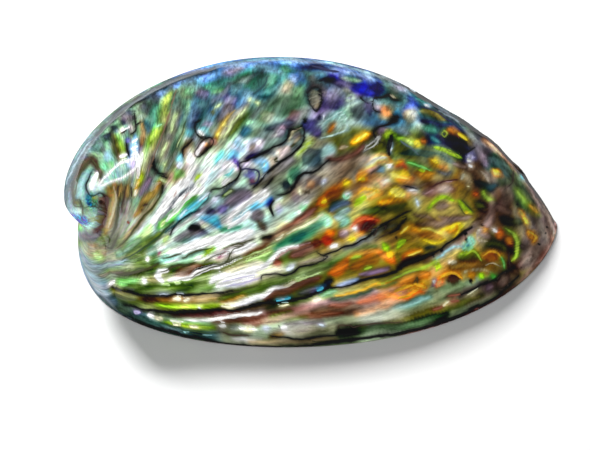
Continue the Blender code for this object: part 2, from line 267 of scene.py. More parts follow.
# The spire. Its white marks, the lens and the white in the curl, on the ribs and on the ticks, are painted highlights,
# the pale outer strip is partly a painted reflection, and the crease beside the bulb is painted shade
SPIRE = (
    ("outer strip", BAND, PALE_BLUE, 9, "66,222 65,206 68,188 75,170 85,152 95,139"),
    ("strip's bright edge", GLINT, PALE_BLUE, 2, "67,186 74,167 83,152 92,141"),
    ("bulb's underside", BAND, GREY_BLUE, 9, "69,222 76,232 88,237 98,234"),
    ("underside's dark turn", BAND, MAUVE_GREY, 5, "82,236 92,238 101,231"),
    ("arch", BAND, BROWN, 6, "74,202 75,184 81,169 89,160 95,163 99,171 101,180"),
    ("arch's dark inner edge", LINE, DARK_OLIVE, 2, "74,196 77,180 84,167 91,160", "92,160 97,167 101,178"),
    ("aqua curl", BAND, AQUA, 10, "92,171 86,177 81,186 81,197 85,204 91,206"),
    ("curl's lower part", BAND, PALE_GREEN, 6, "84,203 91,206"),
    ("curl's outline", LINE, BLACK, 1.8, "92,171 89,178 87,187 89,194 94,196 101,193 104,197"),
    ("white inside the curl", GLINT, WHITE, 5, "98,172 94,180 92,190"),
    ("brown core", BAND, RUST, 8, "99,199 103,203"),
    ("pit", SPOT, BLACK, 4, "100,202"),
    ("pit's rings", LINE, DARK_BROWN, 1.5, "95,200 98,206 104,206 106,200", "103,194 107,198 105,205"),
    ("olive mark", SPOT, OLIVE, 6, "77,203"),
    ("olive mark's outline", LINE, DARK_OLIVE, 1.4, "74,199 80,200 80,207 74,207 73,202"),
    ("petal", BAND, SAGE_GREEN, 9, "88,208 90,216"),
    ("petal's outline", LINE, DARK_OLIVE, 1.6, "82,206 82,217", "84,207 90,205 97,207 100,211"),
    ("folds under the petal", LINE, OLIVE, 1.5, "83,220 92,219 100,213", "86,223 95,221 102,214"),
    ("green spot", BAND, BRIGHT_GREEN, 6, "78,222 82,229"),
    ("grey inner side", BAND, MAUVE_GREY, 6, "98,209 100,219 97,230"),
    ("crease beside the bulb", LINE, DARK_MAROON, 5, "106,196 107,207 105,218 101,227 94,233"),
    ("ochre inner rib", BAND, OCHRE, 5, "109,186 110,198"),
    ("beige rib", BAND, OCHRE, 6, "112,190 113,206 111,221 106,232"),
    ("rib's light", GLINT, BEIGE, 2.5, "114,186 116,200 113,216 109,228"),
    ("olive rib line", LINE, DARK_OLIVE, 3, "121,192 119,208 116,226 109,243"),
    ("grey-beige rib", BAND, STONE, 8, "129,198 128,216 120,236"),
    ("dark ribs", LINE, DARK_BROWN, 2, "125,186 124,200 122,212", "118,186 118,196", "132,186 131,196"),
    ("ochre ribs", BAND, OCHRE, 4, "121,184 120,198", "128,184 127,196", "115,182 114,190"),
    ("rib foot's lines", LINE, DARK_OLIVE, 1.5, "105,246 112,248 118,234", "111,249 115,240"),
    ("lens outline", GLINT, WHITE, 2.3, "99,185 108,174 122,163 134,160 138,164 130,173 116,180 100,186"),
    ("lens", BAND, PALE_AQUA, 8, "112,176 122,169 128,166"),
    ("lens's blue heart", BAND, AQUA, 4, "116,172 118,176"),
    ("white beside the lens", GLINT, WHITE, 5, "130,160 138,156 138,168"),
    ("above the lens", BAND, BRIGHT_MINT, 5, "101,163 106,168", "108,159 111,166"),
    ("aqua over the lens", BAND, AQUA, 10, "106,152 112,158"),
    ("dull green over it", BAND, GREY_TEAL, 10, "94,150 104,142"),
    ("pale patch", SPOT, GREY_BLUE, 5, "112,128 118,131"),
    ("slate patch", BAND, DARK_SLATE, 6, "112,132 117,127", "106,139 113,136"),
    ("dark patch over it", BAND, MAUVE_GREY, 10, "122,120 131,116"),
    ("dark patch's core", SPOT, DARK_SLATE, 6, "130,113", "123,123"),
    ("black tick", LINE, BLACK, 2.2, "135,111 136,124 142,122", "136,124 136,131 130,134"),
    ("blue tick", SPOT, AZURE, 5, "141,117"),
    ("pale patch beside it", BAND, SILVER, 6, "129,125 133,130"),
    ("white tick", GLINT, WHITE, 2, "121,133 130,127"),
    ("tick's shade", LINE, BLACK, 1.6, "121,135 127,131"),
    ("yellow window", BAND, YELLOW_GREEN, 8, "117,139 120,149 125,157"),
    ("window's gold edge", BAND, OLIVE, 3, "114,138 117,150 120,159"),
    ("window's left side", LINE, DARK_OLIVE, 2, "112,134 115,146 119,159"),
    ("window's light", GLINT, WHITE, 3.5, "120,157 127,154"),
    ("window's right side", LINE, BLACK, 3, "126,142 127,150 129,158"),
    ("violet spot", SPOT, VIOLET, 6, "128,140"),
    ("blue steps", BAND, SKY, 8, "134,138 134,150 131,160"),
    ("blue steps' lights", GLINT, WHITE, 1.8, "132,142 138,139", "131,149 137,147", "131,155 137,152"),
    ("pale glow", BAND, ICE, 10, "127,163 137,162"),
    ("mauve rib", BAND, MAUVE, 2.5, "141,138 141,152 139,170"),
    ("white rib", GLINT, WHITE, 4, "143,152 141,166 137,180"),
    ("gold light on the rib", GLINT, GOLD, 3.5, "140,180 136,189"),
    ("orange beside it", BAND, OCHRE, 4, "143,168 140,182 134,194"),
)

# The shoulder. Its white marks and the strokes named lights are painted highlights
SHOULDER = (
    ("crest's dark edge", LINE, DARK_SLATE, 2, "97,135 110,121 128,107 148,95 170,84", "172,83 190,77 216,68"),
    ("blue on the crest", BAND, AZURE, 5, "150,97 164,90"),
    ("slate shade", BAND, DARK_SLATE, 9, "146,101 158,98", "142,110 150,107"),
    ("grey field", BAND, SAGE, 6, "130,104 140,102", "140,112 143,121"),
    ("teal field", BAND, SEA_GREEN, 9, "158,104 154,116 148,126"),
    ("pale blue field", BAND, STEEL, 8, "164,94 172,86"),
    ("olive rib", BAND, YELLOW_GREEN, 7, "171,93 165,108 162,122 158,136"),
    ("lime rib", BAND, YELLOW_GREEN, 11, "159,126 155,138 151,150"),
    ("lime rib's pale foot", BAND, PALE_GREEN, 9, "151,146 147,158 143,172"),
    ("lime light", GLINT, YELLOW_GREEN, 6, "155,130 151,142"),
    ("mint light", GLINT, BRIGHT_MINT, 3.5, "156,126 162,124"),
    ("dim teal", BAND, TEAL, 5, "146,122 148,132"),
    ("gold left rib", BAND, OCHRE, 3, "142,124 143,136 141,146"),
    ("brown rib line", LINE, BROWN, 2, "177,90 172,106 166,122 160,140 154,158 149,174"),
    ("stone rib beside it", BAND, STONE, 4, "166,126 158,148 151,166 146,184"),
    ("grey-beige rib", BAND, STONE, 8, "180,104 173,124 166,142 160,160"),
    ("its pale lines", GLINT, PALE_GREEN, 1.8, "177,114 170,132", "166,142 161,156", "184,128 176,148"),
    ("its green edge", BAND, SAGE_GREEN, 4, "188,104 184,120 178,138 173,154 168,168"),
    ("its dark line", LINE, DARK_GREEN, 1.6, "186,120 181,134 175,148 171,158"),
    ("pale green field", BAND, SAGE, 10, "184,92 190,100"),
    ("pale green light", BAND, BRIGHT_MINT, 5, "186,94 194,90"),
    ("grey-lilac field", BAND, GREY, 7, "196,92 206,90"),
    ("green ridge", BAND, SEA_GREEN, 10, "206,89 222,84 244,82 262,76"),
    ("cyan on the crest", BAND, SKY, 8, "208,76 220,71"),
    ("green light on the ridge", BAND, BRIGHT_GREEN, 5, "214,92 224,90"),
    ("ridge's dark side", BAND, SLATE, 5, "232,82 222,94 212,102 204,108", "234,83 250,79 264,72"),
    ("violet-blue fields", BAND, VIOLET_GREY, 11, "234,97 225,107", "198,97 208,94"),
    ("blue-teal field", BAND, STEEL, 12, "192,116 200,110 208,104"),
    ("teal light", BAND, STEEL, 8, "240,87 231,95", "196,116 201,112"),
    ("olive spot", SPOT, OLIVE, 6, "213,112"),
    ("olive spot's light", GLINT, PALE_GREEN, 2.5, "215,107 222,104"),
    ("dark mauve field", BAND, MAUVE_GREY, 8, "219,120 226,112 234,106"),
    ("violet over the cyan window", BAND, LILAC, 6, "205,124 213,122"),
    ("cyan window", BAND, CYAN, 9, "201,130 209,133"),
    ("window's white", GLINT, WHITE, 3, "198,130 204,136"),
    ("window's outline", LINE, BLACK, 2.4, "196,122 195,131 199,137 206,137", "196,122 202,119"),
    ("small cyan drop", BAND, CYAN, 5, "187,137 191,132"),
    ("drop's light", GLINT, WHITE, 2, "186,139"),
    ("cyan drop below", BAND, CYAN, 5, "180,156 179,163"),
    ("black bay", LINE, BLACK, 2.2, "193,139 188,145 183,150 183,158"),
    ("violet in the bay", BAND, GREY_BLUE, 8, "194,146 198,141"),
    ("oval's fill", BAND, BROWN, 9, "199,152 207,144"),
    ("oval's gold", SPOT, GOLD, 4, "205,145"),
    ("oval's white", GLINT, WHITE, 5, "197,155 199,148 204,142"),
    ("oval's outline", LINE, BLACK, 2, "194,155 197,146 203,140 210,138 213,142 207,151 199,156 194,155"),
    ("gold streak", BAND, GOLD, 4, "217,138 223,127 230,117"),
    ("streak's lights", GLINT, PALE_YELLOW, 2.5, "218,136 220,132", "223,127 226,123"),
    ("orange line over it", LINE, OCHRE, 1.6, "229,117 236,110"),
    ("brown side", BAND, ROSE_BROWN, 6, "212,144 216,138"),
    ("sage stripes", BAND, STONE, 8, "222,136 231,124 241,112 250,101"),
    ("stripe's pale line", GLINT, PALE_GREEN, 1.8, "223,138 234,122 246,108"),
    ("stripe's green line", BAND, OLIVE_GREEN, 3, "228,137 238,124 248,113"),
    ("yellow-green squiggles", LINE, BLACK, 1.5, "155,158 156,168 159,172", "157,173 166,174", "160,176 168,178"),
    ("pale squiggle lights", GLINT, PALE_GREEN, 3, "164,163", "161,180 166,182"),
    ("white shoulder below", GLINT, WHITE, 9, "190,152 190,168 186,178"),
    ("mint below", BAND, BRIGHT_GREEN, 6, "176,170 182,176"),
    ("pale aqua below", GLINT, ICE, 6, "178,168 182,162"),
)

# The crest. Its sky and azure bands along the top are partly the nacre's blue and partly a painted reflection of the
# pale surround, and the strokes named lights are painted highlights
CREST = (
    ("lilac on the crest", BAND, LILAC, 4, "224,73 242,69"),
    ("sky light", BAND, SKY, 7, "282,63 296,63 314,65"),
    ("violet shade", BAND, INDIGO, 4, "302,67 314,67 326,69"),
    ("dark violet shade", LINE, NAVY, 4, "310,66 322,69 340,73"),
    ("azure right part", BAND, AZURE, 9, "326,64 342,69 358,76 378,83"),
    ("pale olive streak", BAND, MINT, 4, "342,78 360,80"),
    ("navy streak", BAND, NAVY, 6, "322,81 336,82"),
    ("blue streak", BAND, VIOLET_GREY, 9, "334,84 352,86"),
    ("black spot on the streak", SPOT, BLACK, 3, "321,81"),
    ("cobalt", BAND, COBALT, 7, "357,86 366,91 373,95"),
    ("deep cobalt", BAND, INDIGO, 7, "374,88 382,92"),
    ("grey patch", BAND, GREY, 8, "388,90 398,94"),
    ("grey patch's light", GLINT, BEIGE, 2, "390,95 398,97"),
    ("grey column", BAND, GREY, 7, "313,76 312,86"),
    ("cobalt left of it", BAND, AZURE, 7, "300,72 303,82"),
    ("blue left of that", BAND, AZURE, 8, "292,76 296,84"),
    ("bright green", BAND, SEA_GREEN, 6, "281,70 290,72"),
    ("teal", BAND, TEAL, 8, "276,80 266,90"),
    ("green lobe", BAND, SEA_GREEN, 14, "252,88 264,84 274,78"),
    ("lobe's edge", LINE, DEEP_TEAL, 1.8, "254,94 264,87 268,76"),
    ("sage light", BAND, BEIGE, 6, "285,90 292,86"),
    ("teal below", BAND, TEAL, 5, "256,95 268,93 278,89"),
    ("beige lights", GLINT, PALE_GREEN, 3, "249,99 252,99", "256,101 260,104"),
    ("green middle lobe", BAND, SAGE_GREEN, 16, "270,112 282,106 298,100"),
    ("sage lobe", BAND, SAGE, 10, "262,118 272,114"),
    ("rose lobe", BAND, ROSE_BROWN, 7, "290,117 298,113"),
    ("grey-violet lobe", BAND, MAUVE_GREY, 9, "284,126 298,119 306,110"),
    ("dark lower side", BAND, DARK_SLATE, 5, "268,129 280,126 292,121"),
    ("hatched patch's ring", BAND, MAUVE, 4, "309,92 314,86 322,87 326,96"),
            ("hatched patch's outline", LINE, BLACK, 1.9, "308,93 314,88 321,90 320,104 316,112 311,106 308,93"),
    ("hatched patch", SPOT, BEIGE, 8, "314.5,94 315.5,105"),
    ("its hatching", LINE, STONE, 0.9, "311,99 318,94", "312,105 319,100"),
    ("its dark corner", SPOT, BLACK, 5, "320,92"),
    ("lavender field", BAND, VIOLET_GREY, 14, "328,98 334,108"),
    ("pale lobe", BAND, GREY, 6, "342,92 350,92"),
    ("pale ring", GLINT, MINT, 1.8, "348,96 352,94 355,98 352,101 348,100 348,96"),
    ("slot", LINE, BLACK, 2.4, "360,97 364,101 369,104"),
    ("indigo spot", BAND, INDIGO, 10, "304,122 312,128 318,136"),
    ("black spot", SPOT, BLACK, 6, "305,120"),
    ("violet eye", SPOT, NAVY, 6, "319,119"),
    ("eye's light", GLINT, ICE, 1.8, "323,116 323,121"),
    ("mint patch", BAND, MINT, 14, "324,130 334,122 344,117"),
    ("mint patch's light edge", GLINT, PALE_AQUA, 1.6, "318,126 330,119 342,111 347,120 348,129", "321,138 334,134 348,130"),
    ("gold in the patch", BAND, AMBER, 2.8, "328,131 334,124"),
    ("mint ring", GLINT, PALE_AQUA, 1.5, "339,118 342,114 345,119 341,121"),
    ("green-grey field", BAND, SLATE, 12, "352,112 362,116"),
    ("indigo field", BAND, INDIGO, 8, "366,104 370,114"),
    ("beige patch", BAND, BEIGE, 13, "384,106 390,116"),
    ("peach in the patch", BAND, PEACH, 5, "383,106 389,115"),
    ("lilac beside it", BAND, LILAC, 5, "377,106 379,111"),
    ("patch's dark foot", BAND, DARK_BROWN, 4, "392,122 398,118"),
    ("patch's outline", LINE, BLACK, 2.4, "374,97 382,97 388,95 393,99 401,99", "375,97 373,104 374,111 380,112"),
    ("curve below", LINE, BLACK, 2.4, "397,122 387,124 378,127 373,132 376,138"),
    ("mauve below", BAND, MAUVE_GREY, 8, "378,132 388,129"),
    ("slate-blue", BAND, SLATE, 9, "398,130 408,134"),
    ("cobalt beside it", BAND, COBALT, 8, "410,97 413,105 406,112"),
    ("mauve oval", BAND, MAUVE_BROWN, 5, "405,118 409,112"),
    ("beige oval", BAND, BEIGE, 7, "408,124 413,114"),
)

# The right side. Its white chips and gem and the strokes named lights, glints and sparks are painted highlights
RIGHT_SIDE = (
    ("teal strip", BAND, TEAL, 7, "418,98 434,107 450,119"),
    ("slate strip", BAND, SLATE, 6, "432,104 448,113 462,124"),
    ("strip's lights", GLINT, ICE, 2, "409,88 416,92", "448,108 454,112", "426,105 430,107"),
    ("strip's pale line", GLINT, GREY_BLUE, 1.6, "438,111 452,118 464,128"),
    ("dark line under it", LINE, NAVY, 1.8, "419,106 436,112 450,122 463,131"),
    ("olive-green field", BAND, OLIVE, 6, "420,112 434,116 444,120"),
    ("navy streak", BAND, NAVY, 4, "422,121 440,124 456,129 464,134"),
    ("green field", BAND, SEA_GREEN, 8, "424,129 438,130"),
    ("teal field", BAND, TEAL, 6, "430,138 440,142"),
    ("yellow ring", GLINT, YELLOW_GREEN, 1.8, "442,133 445,130 448,133 445,136 442,133"),
    ("orange stripe", BAND, ORANGE, 7, "448,131 459,136"),
    ("yellow stripe", GLINT, YELLOW, 6.5, "457,135 467,141"),
    ("stripe's olive end", BAND, OCHRE, 5, "467,141 472,146"),
    ("stripe's notch", LINE, MAROON, 1.2, "457,133 459,139"),
    ("night-blue lens", BAND, NAVY, 8, "440,137 450,141 460,145 468,148"),
    ("its black edge", LINE, BLACK, 3, "462,151 468,151 475,148"),
    ("lime stripe", GLINT, LIME, 5, "435,147 444,150 452,153 460,157"),
    ("lime stripe's dark ring", LINE, OLIVE, 1.2, "447,150 454,152 457,156"),
    ("yellow spot", GLINT, YELLOW, 5, "414,143 420,145"),
    ("orange beside it", BAND, ORANGE, 4, "422,141 426,140"),
    ("lime round it", BAND, YELLOW_GREEN, 4, "396,137 406,140 412,144"),
    ("grey strands", LINE, SLATE, 1.5, "404,143 414,149 420,154", "400,140 408,146"),
    ("dark stripe", LINE, DEEP_TEAL, 7, "402,152 420,152 440,157 456,163"),
    ("dark stripe's tail", BAND, MAUVE_BROWN, 5, "454,163 466,167"),
    ("lower gold stripe", BAND, GOLD, 7, "430,159 438,163 448,169"),
    ("its yellow part", GLINT, YELLOW, 4, "433,160 438,163"),
    ("its orange part", BAND, ORANGE, 4, "441,166 447,170"),
    ("grey hem", BAND, GREY, 4, "438,171 446,174 452,171"),
    ("purple field", BAND, VIOLET_GREY, 5, "466,155 474,157"),
    ("white chips", GLINT, WHITE, 2.4, "467,158 470,161", "469,165 472,167"),
    ("grey-mauve field", BAND, MAUVE_GREY, 10, "478,140 484,152 486,164"),
    ("pale rim strip", BAND, MAUVE_BROWN, 4, "460,119 472,126 484,135 496,146 508,157"),
    ("orange rim strip", BAND, PEACH, 2.6, "484,139 494,148 505,159 515,168"),
    ("beige patch", BAND, BEIGE, 9, "463,176 471,184"),
    ("patch's lights", GLINT, CREAM, 2, "464,173 461,179", "469,186"),
    ("green hollow", BAND, GREY_TEAL, 8, "490,157 500,166 508,176"),
    ("orange spark", BAND, ORANGE, 6, "493,172 500,177"),
    ("spark's light", GLINT, YELLOW, 2, "493,171 497,173"),
    ("pale strand", BAND, BEIGE, 3.5, "481,171 486,178 489,184"),
    ("dark teal hollow", BAND, DEEP_TEAL, 7, "476,183 488,188 496,186"),
    ("orange glint", GLINT, ORANGE, 4.5, "476,194"),
    ("yellow strand", BAND, YELLOW_GREEN, 3.5, "482,190 486,196 493,203"),
    ("brown hollow", BAND, BROWN, 8, "480,204 484,212"),
    ("long vein", LINE, DARK_BROWN, 2, "513,170 512,182 507,187"),
    ("vein patch", SPOT, MAUVE_BROWN, 12, "506,190 507,198 500,207"),
    ("vein patch's arm", SPOT, MAUVE_BROWN, 8, "492,204 491,214 487,224", "498,208 508,213"),
    ("dark right of it", BAND, DARK_OLIVE, 6, "500,218 512,222 522,222"),
    ("green hollow right", BAND, DARK_GREEN, 8, "517,188 524,198 534,208"),
    ("olive stripe", BAND, YELLOW_GREEN, 4.5, "515,189 526,203 540,217"),
    ("olive stripe's gold", GLINT, GOLD, 3.5, "529,205 538,214"),
    ("orange strand", BAND, ORANGE, 4.5, "519,210 523,217"),
    ("yellow strand below", BAND, GOLD, 3, "524,218 528,224"),
    ("black silhouette", LINE, BLACK, 3, "524,176 531,184 538,192", "411,86 420,91"),
    ("cyan rim spot", GLINT, CYAN, 2.2, "521,175 524,180"),
    ("rim's mauve line", BAND, ROSE_BROWN, 3, "530,190 541,200 550,211 554,224"),
    ("grey chip", SPOT, MAUVE_BROWN, 8, "480,232 488,236"),
    ("chip's orange", BAND, AMBER, 5, "484,229 486,232"),
    ("chip's light edge", GLINT, BEIGE, 1.6, "478,228 478,239 488,241"),
    ("black dot", SPOT, BLACK, 3, "481.5,225"),
    ("white gem", GLINT, WHITE, 3, "493,228 497,232"),
    ("orange drop", BAND, ORANGE, 6, "500,229 502,237"),
    ("bronze drop", BAND, AMBER, 8, "508,236 513,243"),
    ("drop's rim", GLINT, YELLOW_GREEN, 2.6, "505,228 513,234 518,243 517,254 512,262"),
    ("dark between", BAND, OLIVE, 7, "486,244 498,242 508,248"),
    ("dark spot", SPOT, DARK_BROWN, 5, "522.5,247"),
    ("gold strand", BAND, AMBER, 5, "529,231 533,238"),
    ("gold strand's light", GLINT, GOLD, 2, "530,232 536,236 534,242"),
    ("tip specks", SPOT, BLACK, 2, "547,228", "545,233.5", "539,243.5", "520.5,266.5", "516.5,203.5"),
)
# The centre. Its white and ice patches, steps and streaks and the strokes named lights are painted highlights
CENTRE = (
    ("green-teal bay", BAND, TEAL, 7, "240,134 250,129"),
    ("pale green light", GLINT, BRIGHT_MINT, 4, "246,124 254,121"),
    ("ice patch", BAND, ICE, 11, "232,146 242,147"),
    ("ice patch's aqua", BAND, AQUA, 4, "236,142 244,150", "231,152 238,155"),
    ("white-blue patch", BAND, ICE, 12, "249,148 262,142"),
    ("its white heart", GLINT, WHITE, 5, "256,144 262,141"),
    ("its grey hollow", BAND, STONE, 4, "251,150 255,145"),
    ("its violet foot", BAND, NAVY, 5, "246,158 258,155 270,152"),
    ("mauve tip", BAND, MAUVE, 5, "283,127 276,136"),
    ("grey lobe", BAND, GREY, 8, "274,136 282,132"),
    ("grey lobe's light", GLINT, SILVER, 3, "272,137 276,134"),
    ("polygon", BAND, MAUVE_GREY, 9, "292,138 298,131"),
    ("polygon's light edge", GLINT, BEIGE, 1.6, "288,141 293,131 301,127", "300,136 293,143"),
    ("upper oval", SPOT, BEIGE, 9, "280,154 286,149"),
    ("lower oval", SPOT, BEIGE, 9, "266,165 272,161"),
    ("ovals' lights", GLINT, CREAM, 2, "278,157 277,152", "263,168 264,163"),
    ("green seam", LINE, DARK_OLIVE, 3, "274,160 277,157", "290,147 294,143"),
    ("long stone band", BAND, STONE, 9, "258,184 272,174 288,163 302,152 312,142"),
    ("yellow-green slot", GLINT, YELLOW_GREEN, 4, "296,156 304,149 312,142"),
    ("slot's pale rim", GLINT, PALE_GREEN, 1.5, "294,157 303,147 312,139", "297,158 306,151 315,142"),
    ("slate lobe", BAND, SLATE, 15, "304,164 316,154"),
    ("green lobe", BAND, SEA_GREEN, 9, "290,180 296,170"),
    ("lobe's light", GLINT, BRIGHT_MINT, 4, "288,178 291,184"),
    ("dim teal lobe", BAND, DARK_SLATE, 8, "280,186 288,188"),
    ("grey-green strip", BAND, SAGE, 6, "272,182 284,174"),
    ("ice triangle", BAND, ICE, 10, "246,170 256,164 262,162"),
    ("its blue light", BAND, SKY, 5, "256,160 264,164 266,172"),
    ("violet window", BAND, VIOLET, 10, "247,176 253,176"),
    ("window's rose foot", BAND, PLUM, 4, "249,181 254,182"),
    ("window's outline", LINE, NAVY, 2, "241,169 256,169 259,175 256,182 249,185"),
    ("light right of it", GLINT, ICE, 3, "262,178 268,172"),
    ("black bay's edge", LINE, BLACK, 2.4, "239,163 241,170 240,176 235,180 226,185 214,189 209,193"),
    ("bay's fold", LINE, DARK_SLATE, 2, "236,180 224,192 214,196", "209,193 206,201 196,211"),
    ("white left bay", GLINT, WHITE, 10, "226,172 232,164 238,168"),
    ("white steps", GLINT, WHITE, 4, "214,170 222,160", "218,178 230,170", "221,184 230,178"),
    ("cyan edges", BAND, CYAN, 3.5, "222,152 216,164", "226,176 231,168", "228,158 236,154"),
    ("violet corner", BAND, VIOLET, 4, "234,160 238,166"),
    ("slot", LINE, BLACK, 6, "221,196 227,193 234,190"),
    ("slot's fill", GLINT, PALE_GREEN, 2, "223,196 232,191"),
    ("ice under the bay", BAND, ICE, 5, "212,196 216,202"),
    ("grey-violet field", BAND, MAUVE_GREY, 12, "224,206 236,198 250,192"),
    ("violet light", BAND, VIOLET, 6, "218,213 224,209"),
    ("dark hollow", BAND, NAVY, 6, "208,212 215,210"),
    ("dark slit", LINE, BLACK, 2.2, "262,190 268,184 272,178"),
    ("cyan-white streak", GLINT, WHITE, 5, "227,222 236,212 248,204 256,199"),
    ("second streak", GLINT, WHITE, 6, "228,230 238,220 249,213"),
    ("aqua between them", BAND, AQUA, 4, "234,221 244,212 254,208"),
    ("bright cyan", BAND, BRIGHT_CYAN, 5, "253,209 262,204 270,199"),
    ("white streaks above it", GLINT, WHITE, 3, "252,202 262,194", "260,203 269,194", "257,196 267,190"),
    ("deep blue end", BAND, COBALT, 3.5, "268,206 272,200"),
    ("black crescent", LINE, BLACK, 3.4, "275,201 271,206 272,212 274,217"),
    ("lilac drop", BAND, LILAC, 6, "277,206 277,214"),
    ("drop's light", GLINT, ICE, 2, "276,202 282,198"),
    ("grey-mauve hollow", BAND, MAUVE_GREY, 8, "252,218 262,215"),
    ("dark red spot", BAND, BROWN, 6, "258,222 264,229"),
    ("mauve field", BAND, MAUVE, 10, "304,186 316,180"),
    ("lilac light", GLINT, LILAC, 3, "320,184 326,180"),
    ("orange light", BAND, PEACH, 6, "306,187 310,184"),
    ("brown spots", SPOT, BROWN, 4, "303,191 308,192"),
    ("white chip", GLINT, WHITE, 2, "324,180 322,185"),
    ("cream chip", GLINT, CREAM, 2, "299,188 301,195"),
    ("grey-olive field", BAND, STONE, 10, "282,206 292,200"),
    ("lilac-brown field", BAND, MAUVE, 7, "290,200 298,198"),
    ("white-green drops", GLINT, BRIGHT_MINT, 5, "300,210 307,204"),
    ("drops' white", GLINT, WHITE, 3, "303,206 308,202", "298,213 301,210"),
)

# The fan. Its white streaks, bands, ring and run are painted highlights, the lights' reflection broken along the growth
# folds; the nacre's colours lie between them
FAN = (
    ("white streaks", GLINT, WHITE, 8, "152,222 161,209 173,194 185,178"),
    ("white streaks, right", GLINT, WHITE, 7, "170,208 184,196 197,184 210,170"),
    ("white streaks, middle", GLINT, WHITE, 5, "166,222 178,208 190,196 202,188"),
    ("thin dark hairs", LINE, DARK_SLATE, 1.3, "168,206 178,194", "164,214 176,200 188,186", "176,200 190,188 200,178"),
    ("hair shadows", LINE, GREY, 1.6, "186,194 196,186", "190,180 198,170", "160,222 170,208", "154,226 163,213"),
    ("hairs' lights", GLINT, WHITE, 2, "156,220 168,205 180,190 192,176", "168,216 182,201 196,188 208,178"),
    ("yellow light among them", GLINT, YELLOW_GREEN, 3, "196,180 202,176", "198,185"),
    ("rose specks", LINE, ROSE, 1.8, "184,200 190,192", "174,196 178,190"),
    ("green band", BAND, GREEN, 8, "196,198 182,208 168,220 158,227"),
    ("bright green in it", BAND, BRIGHT_GREEN, 6, "178,211 168,220", "164,221 160,226"),
    ("pale green in it", GLINT, PALE_GREEN, 3, "165,221 161,227"),
    ("green band's foot", BAND, PALE_GREEN, 6, "150,225 146,234 136,242"),
    ("green round it", BAND, SAGE_GREEN, 7, "140,240 132,246 124,251"),
    ("cyan band", GLINT, CYAN, 7, "206,197 196,206 186,214 178,221"),
    ("cyan band's white", GLINT, ICE, 3, "210,192 198,202", "188,210 180,218"),
    ("dark line beside it", LINE, DEEP_TEAL, 2, "199,210 184,219 172,228 165,234"),
    ("dark crease", LINE, DARK_GREEN, 3, "174,222 165,231 155,240 144,248 132,255 122,260"),
    ("olive band", BAND, OLIVE_GREEN, 8, "160,232 150,241 138,250 126,258"),
    ("pale light in it", GLINT, PALE_GREEN, 2.4, "168,236 164,242"),
    ("cyan bay", BAND, BRIGHT_CYAN, 7, "204,218 212,220 220,226"),
    ("cyan bay's top", GLINT, ICE, 2, "196,216 204,214"),
    ("teal bay", BAND, SEA_GREEN, 6, "222,230 232,232 240,228"),
    # The dark bay and its black core are painted shade
    ("dark bay", BAND, DARK_SLATE, 13, "190,229 200,231"),
    ("dark bay's core", SPOT, BLACK, 7, "192,228 196,229"),
    ("grey side of the bay", BAND, GREY, 10, "178,238 194,236 208,236"),
    ("bay's teal edge", BAND, SEA_GREEN, 3, "184,242 200,240 216,236"),
    ("brown spot", SPOT, RUST, 3, "129.5,222"),
    ("gold rib", BAND, OCHRE, 6, "161,182 154,192 146,200 141,210 136,216"),
    ("gold rib's light", GLINT, CREAM, 2.4, "137,189 134,195"),
    ("gold rib's specks", LINE, DARK_BROWN, 2, "144,206 148,204", "142,210"),
    ("rib's pale side", BAND, BEIGE, 5, "155,200 146,214 136,227 126,237"),
    ("rib's dark line", LINE, DARK_OLIVE, 2.4, "164,186 158,199 149,211 138,225 128,238 117,247"),
    ("grey-violet rib", BAND, MAUVE, 5, "151,178 146,188 141,196"),
    ("black marks above it", LINE, BLACK, 1.8, "155,158 153,164 156,170", "163,186 162,194"),
    ("ochre-yellow lights", BAND, YELLOW_GREEN, 4, "142,176 138,186"),
    ("white bands", GLINT, WHITE, 11, "168,252 186,247 206,243 228,238 250,232"),
    ("lower white bands", GLINT, WHITE, 8, "196,260 214,256 236,250 256,244"),
    ("white ring", GLINT, WHITE, 4.5, "168,270 160,272 158,278 164,283"),
    ("white run", GLINT, WHITE, 4.5, "168,280 186,278 204,270 222,265 242,258"),
    ("dark hairs in the white", LINE, DARK_OLIVE, 1.6, "162,258 180,254", "182,258 196,252 212,249", "204,262 216,256 230,252", "226,262 234,250 244,244", "224,249 236,244 252,239"),
    ("magenta spots", LINE, MAGENTA, 1.6, "219,258 226,252", "157,255 160,251"),
    ("yellow-green lights", GLINT, YELLOW_GREEN, 2, "206,252 214,249", "203,259 209,253"),
    ("brown patch", BAND, ROSE_BROWN, 7, "176,276 188,270 200,266"),
    ("olive line under it", LINE, DARK_OLIVE, 2.5, "160,272 178,266 196,262", "190,278 206,270 222,264 240,256"),
    ("grey-green side", BAND, SAGE_GREEN, 8, "148,254 156,249"),
    ("its light", GLINT, WHITE, 3.5, "146,258 148,262"),
    ("cream fan", BAND, CREAM, 7, "276,232 286,226"),
    ("rust hair", BAND, RUST, 3, "244,256 256,250 270,243"),
    ("yellow hairs", GLINT, PALE_GREEN, 2, "224,266 244,258 262,250 276,244", "246,262 260,256 272,252"),
    ("olive hairs", LINE, OLIVE, 2, "222,268 240,260 256,253"),
    ("brown band", BAND, ROSE_BROWN, 8, "264,240 280,234 294,226 306,217 318,207"),
    ("brown band's olive end", BAND, DARK_OLIVE, 4, "262,238 272,236"),
)
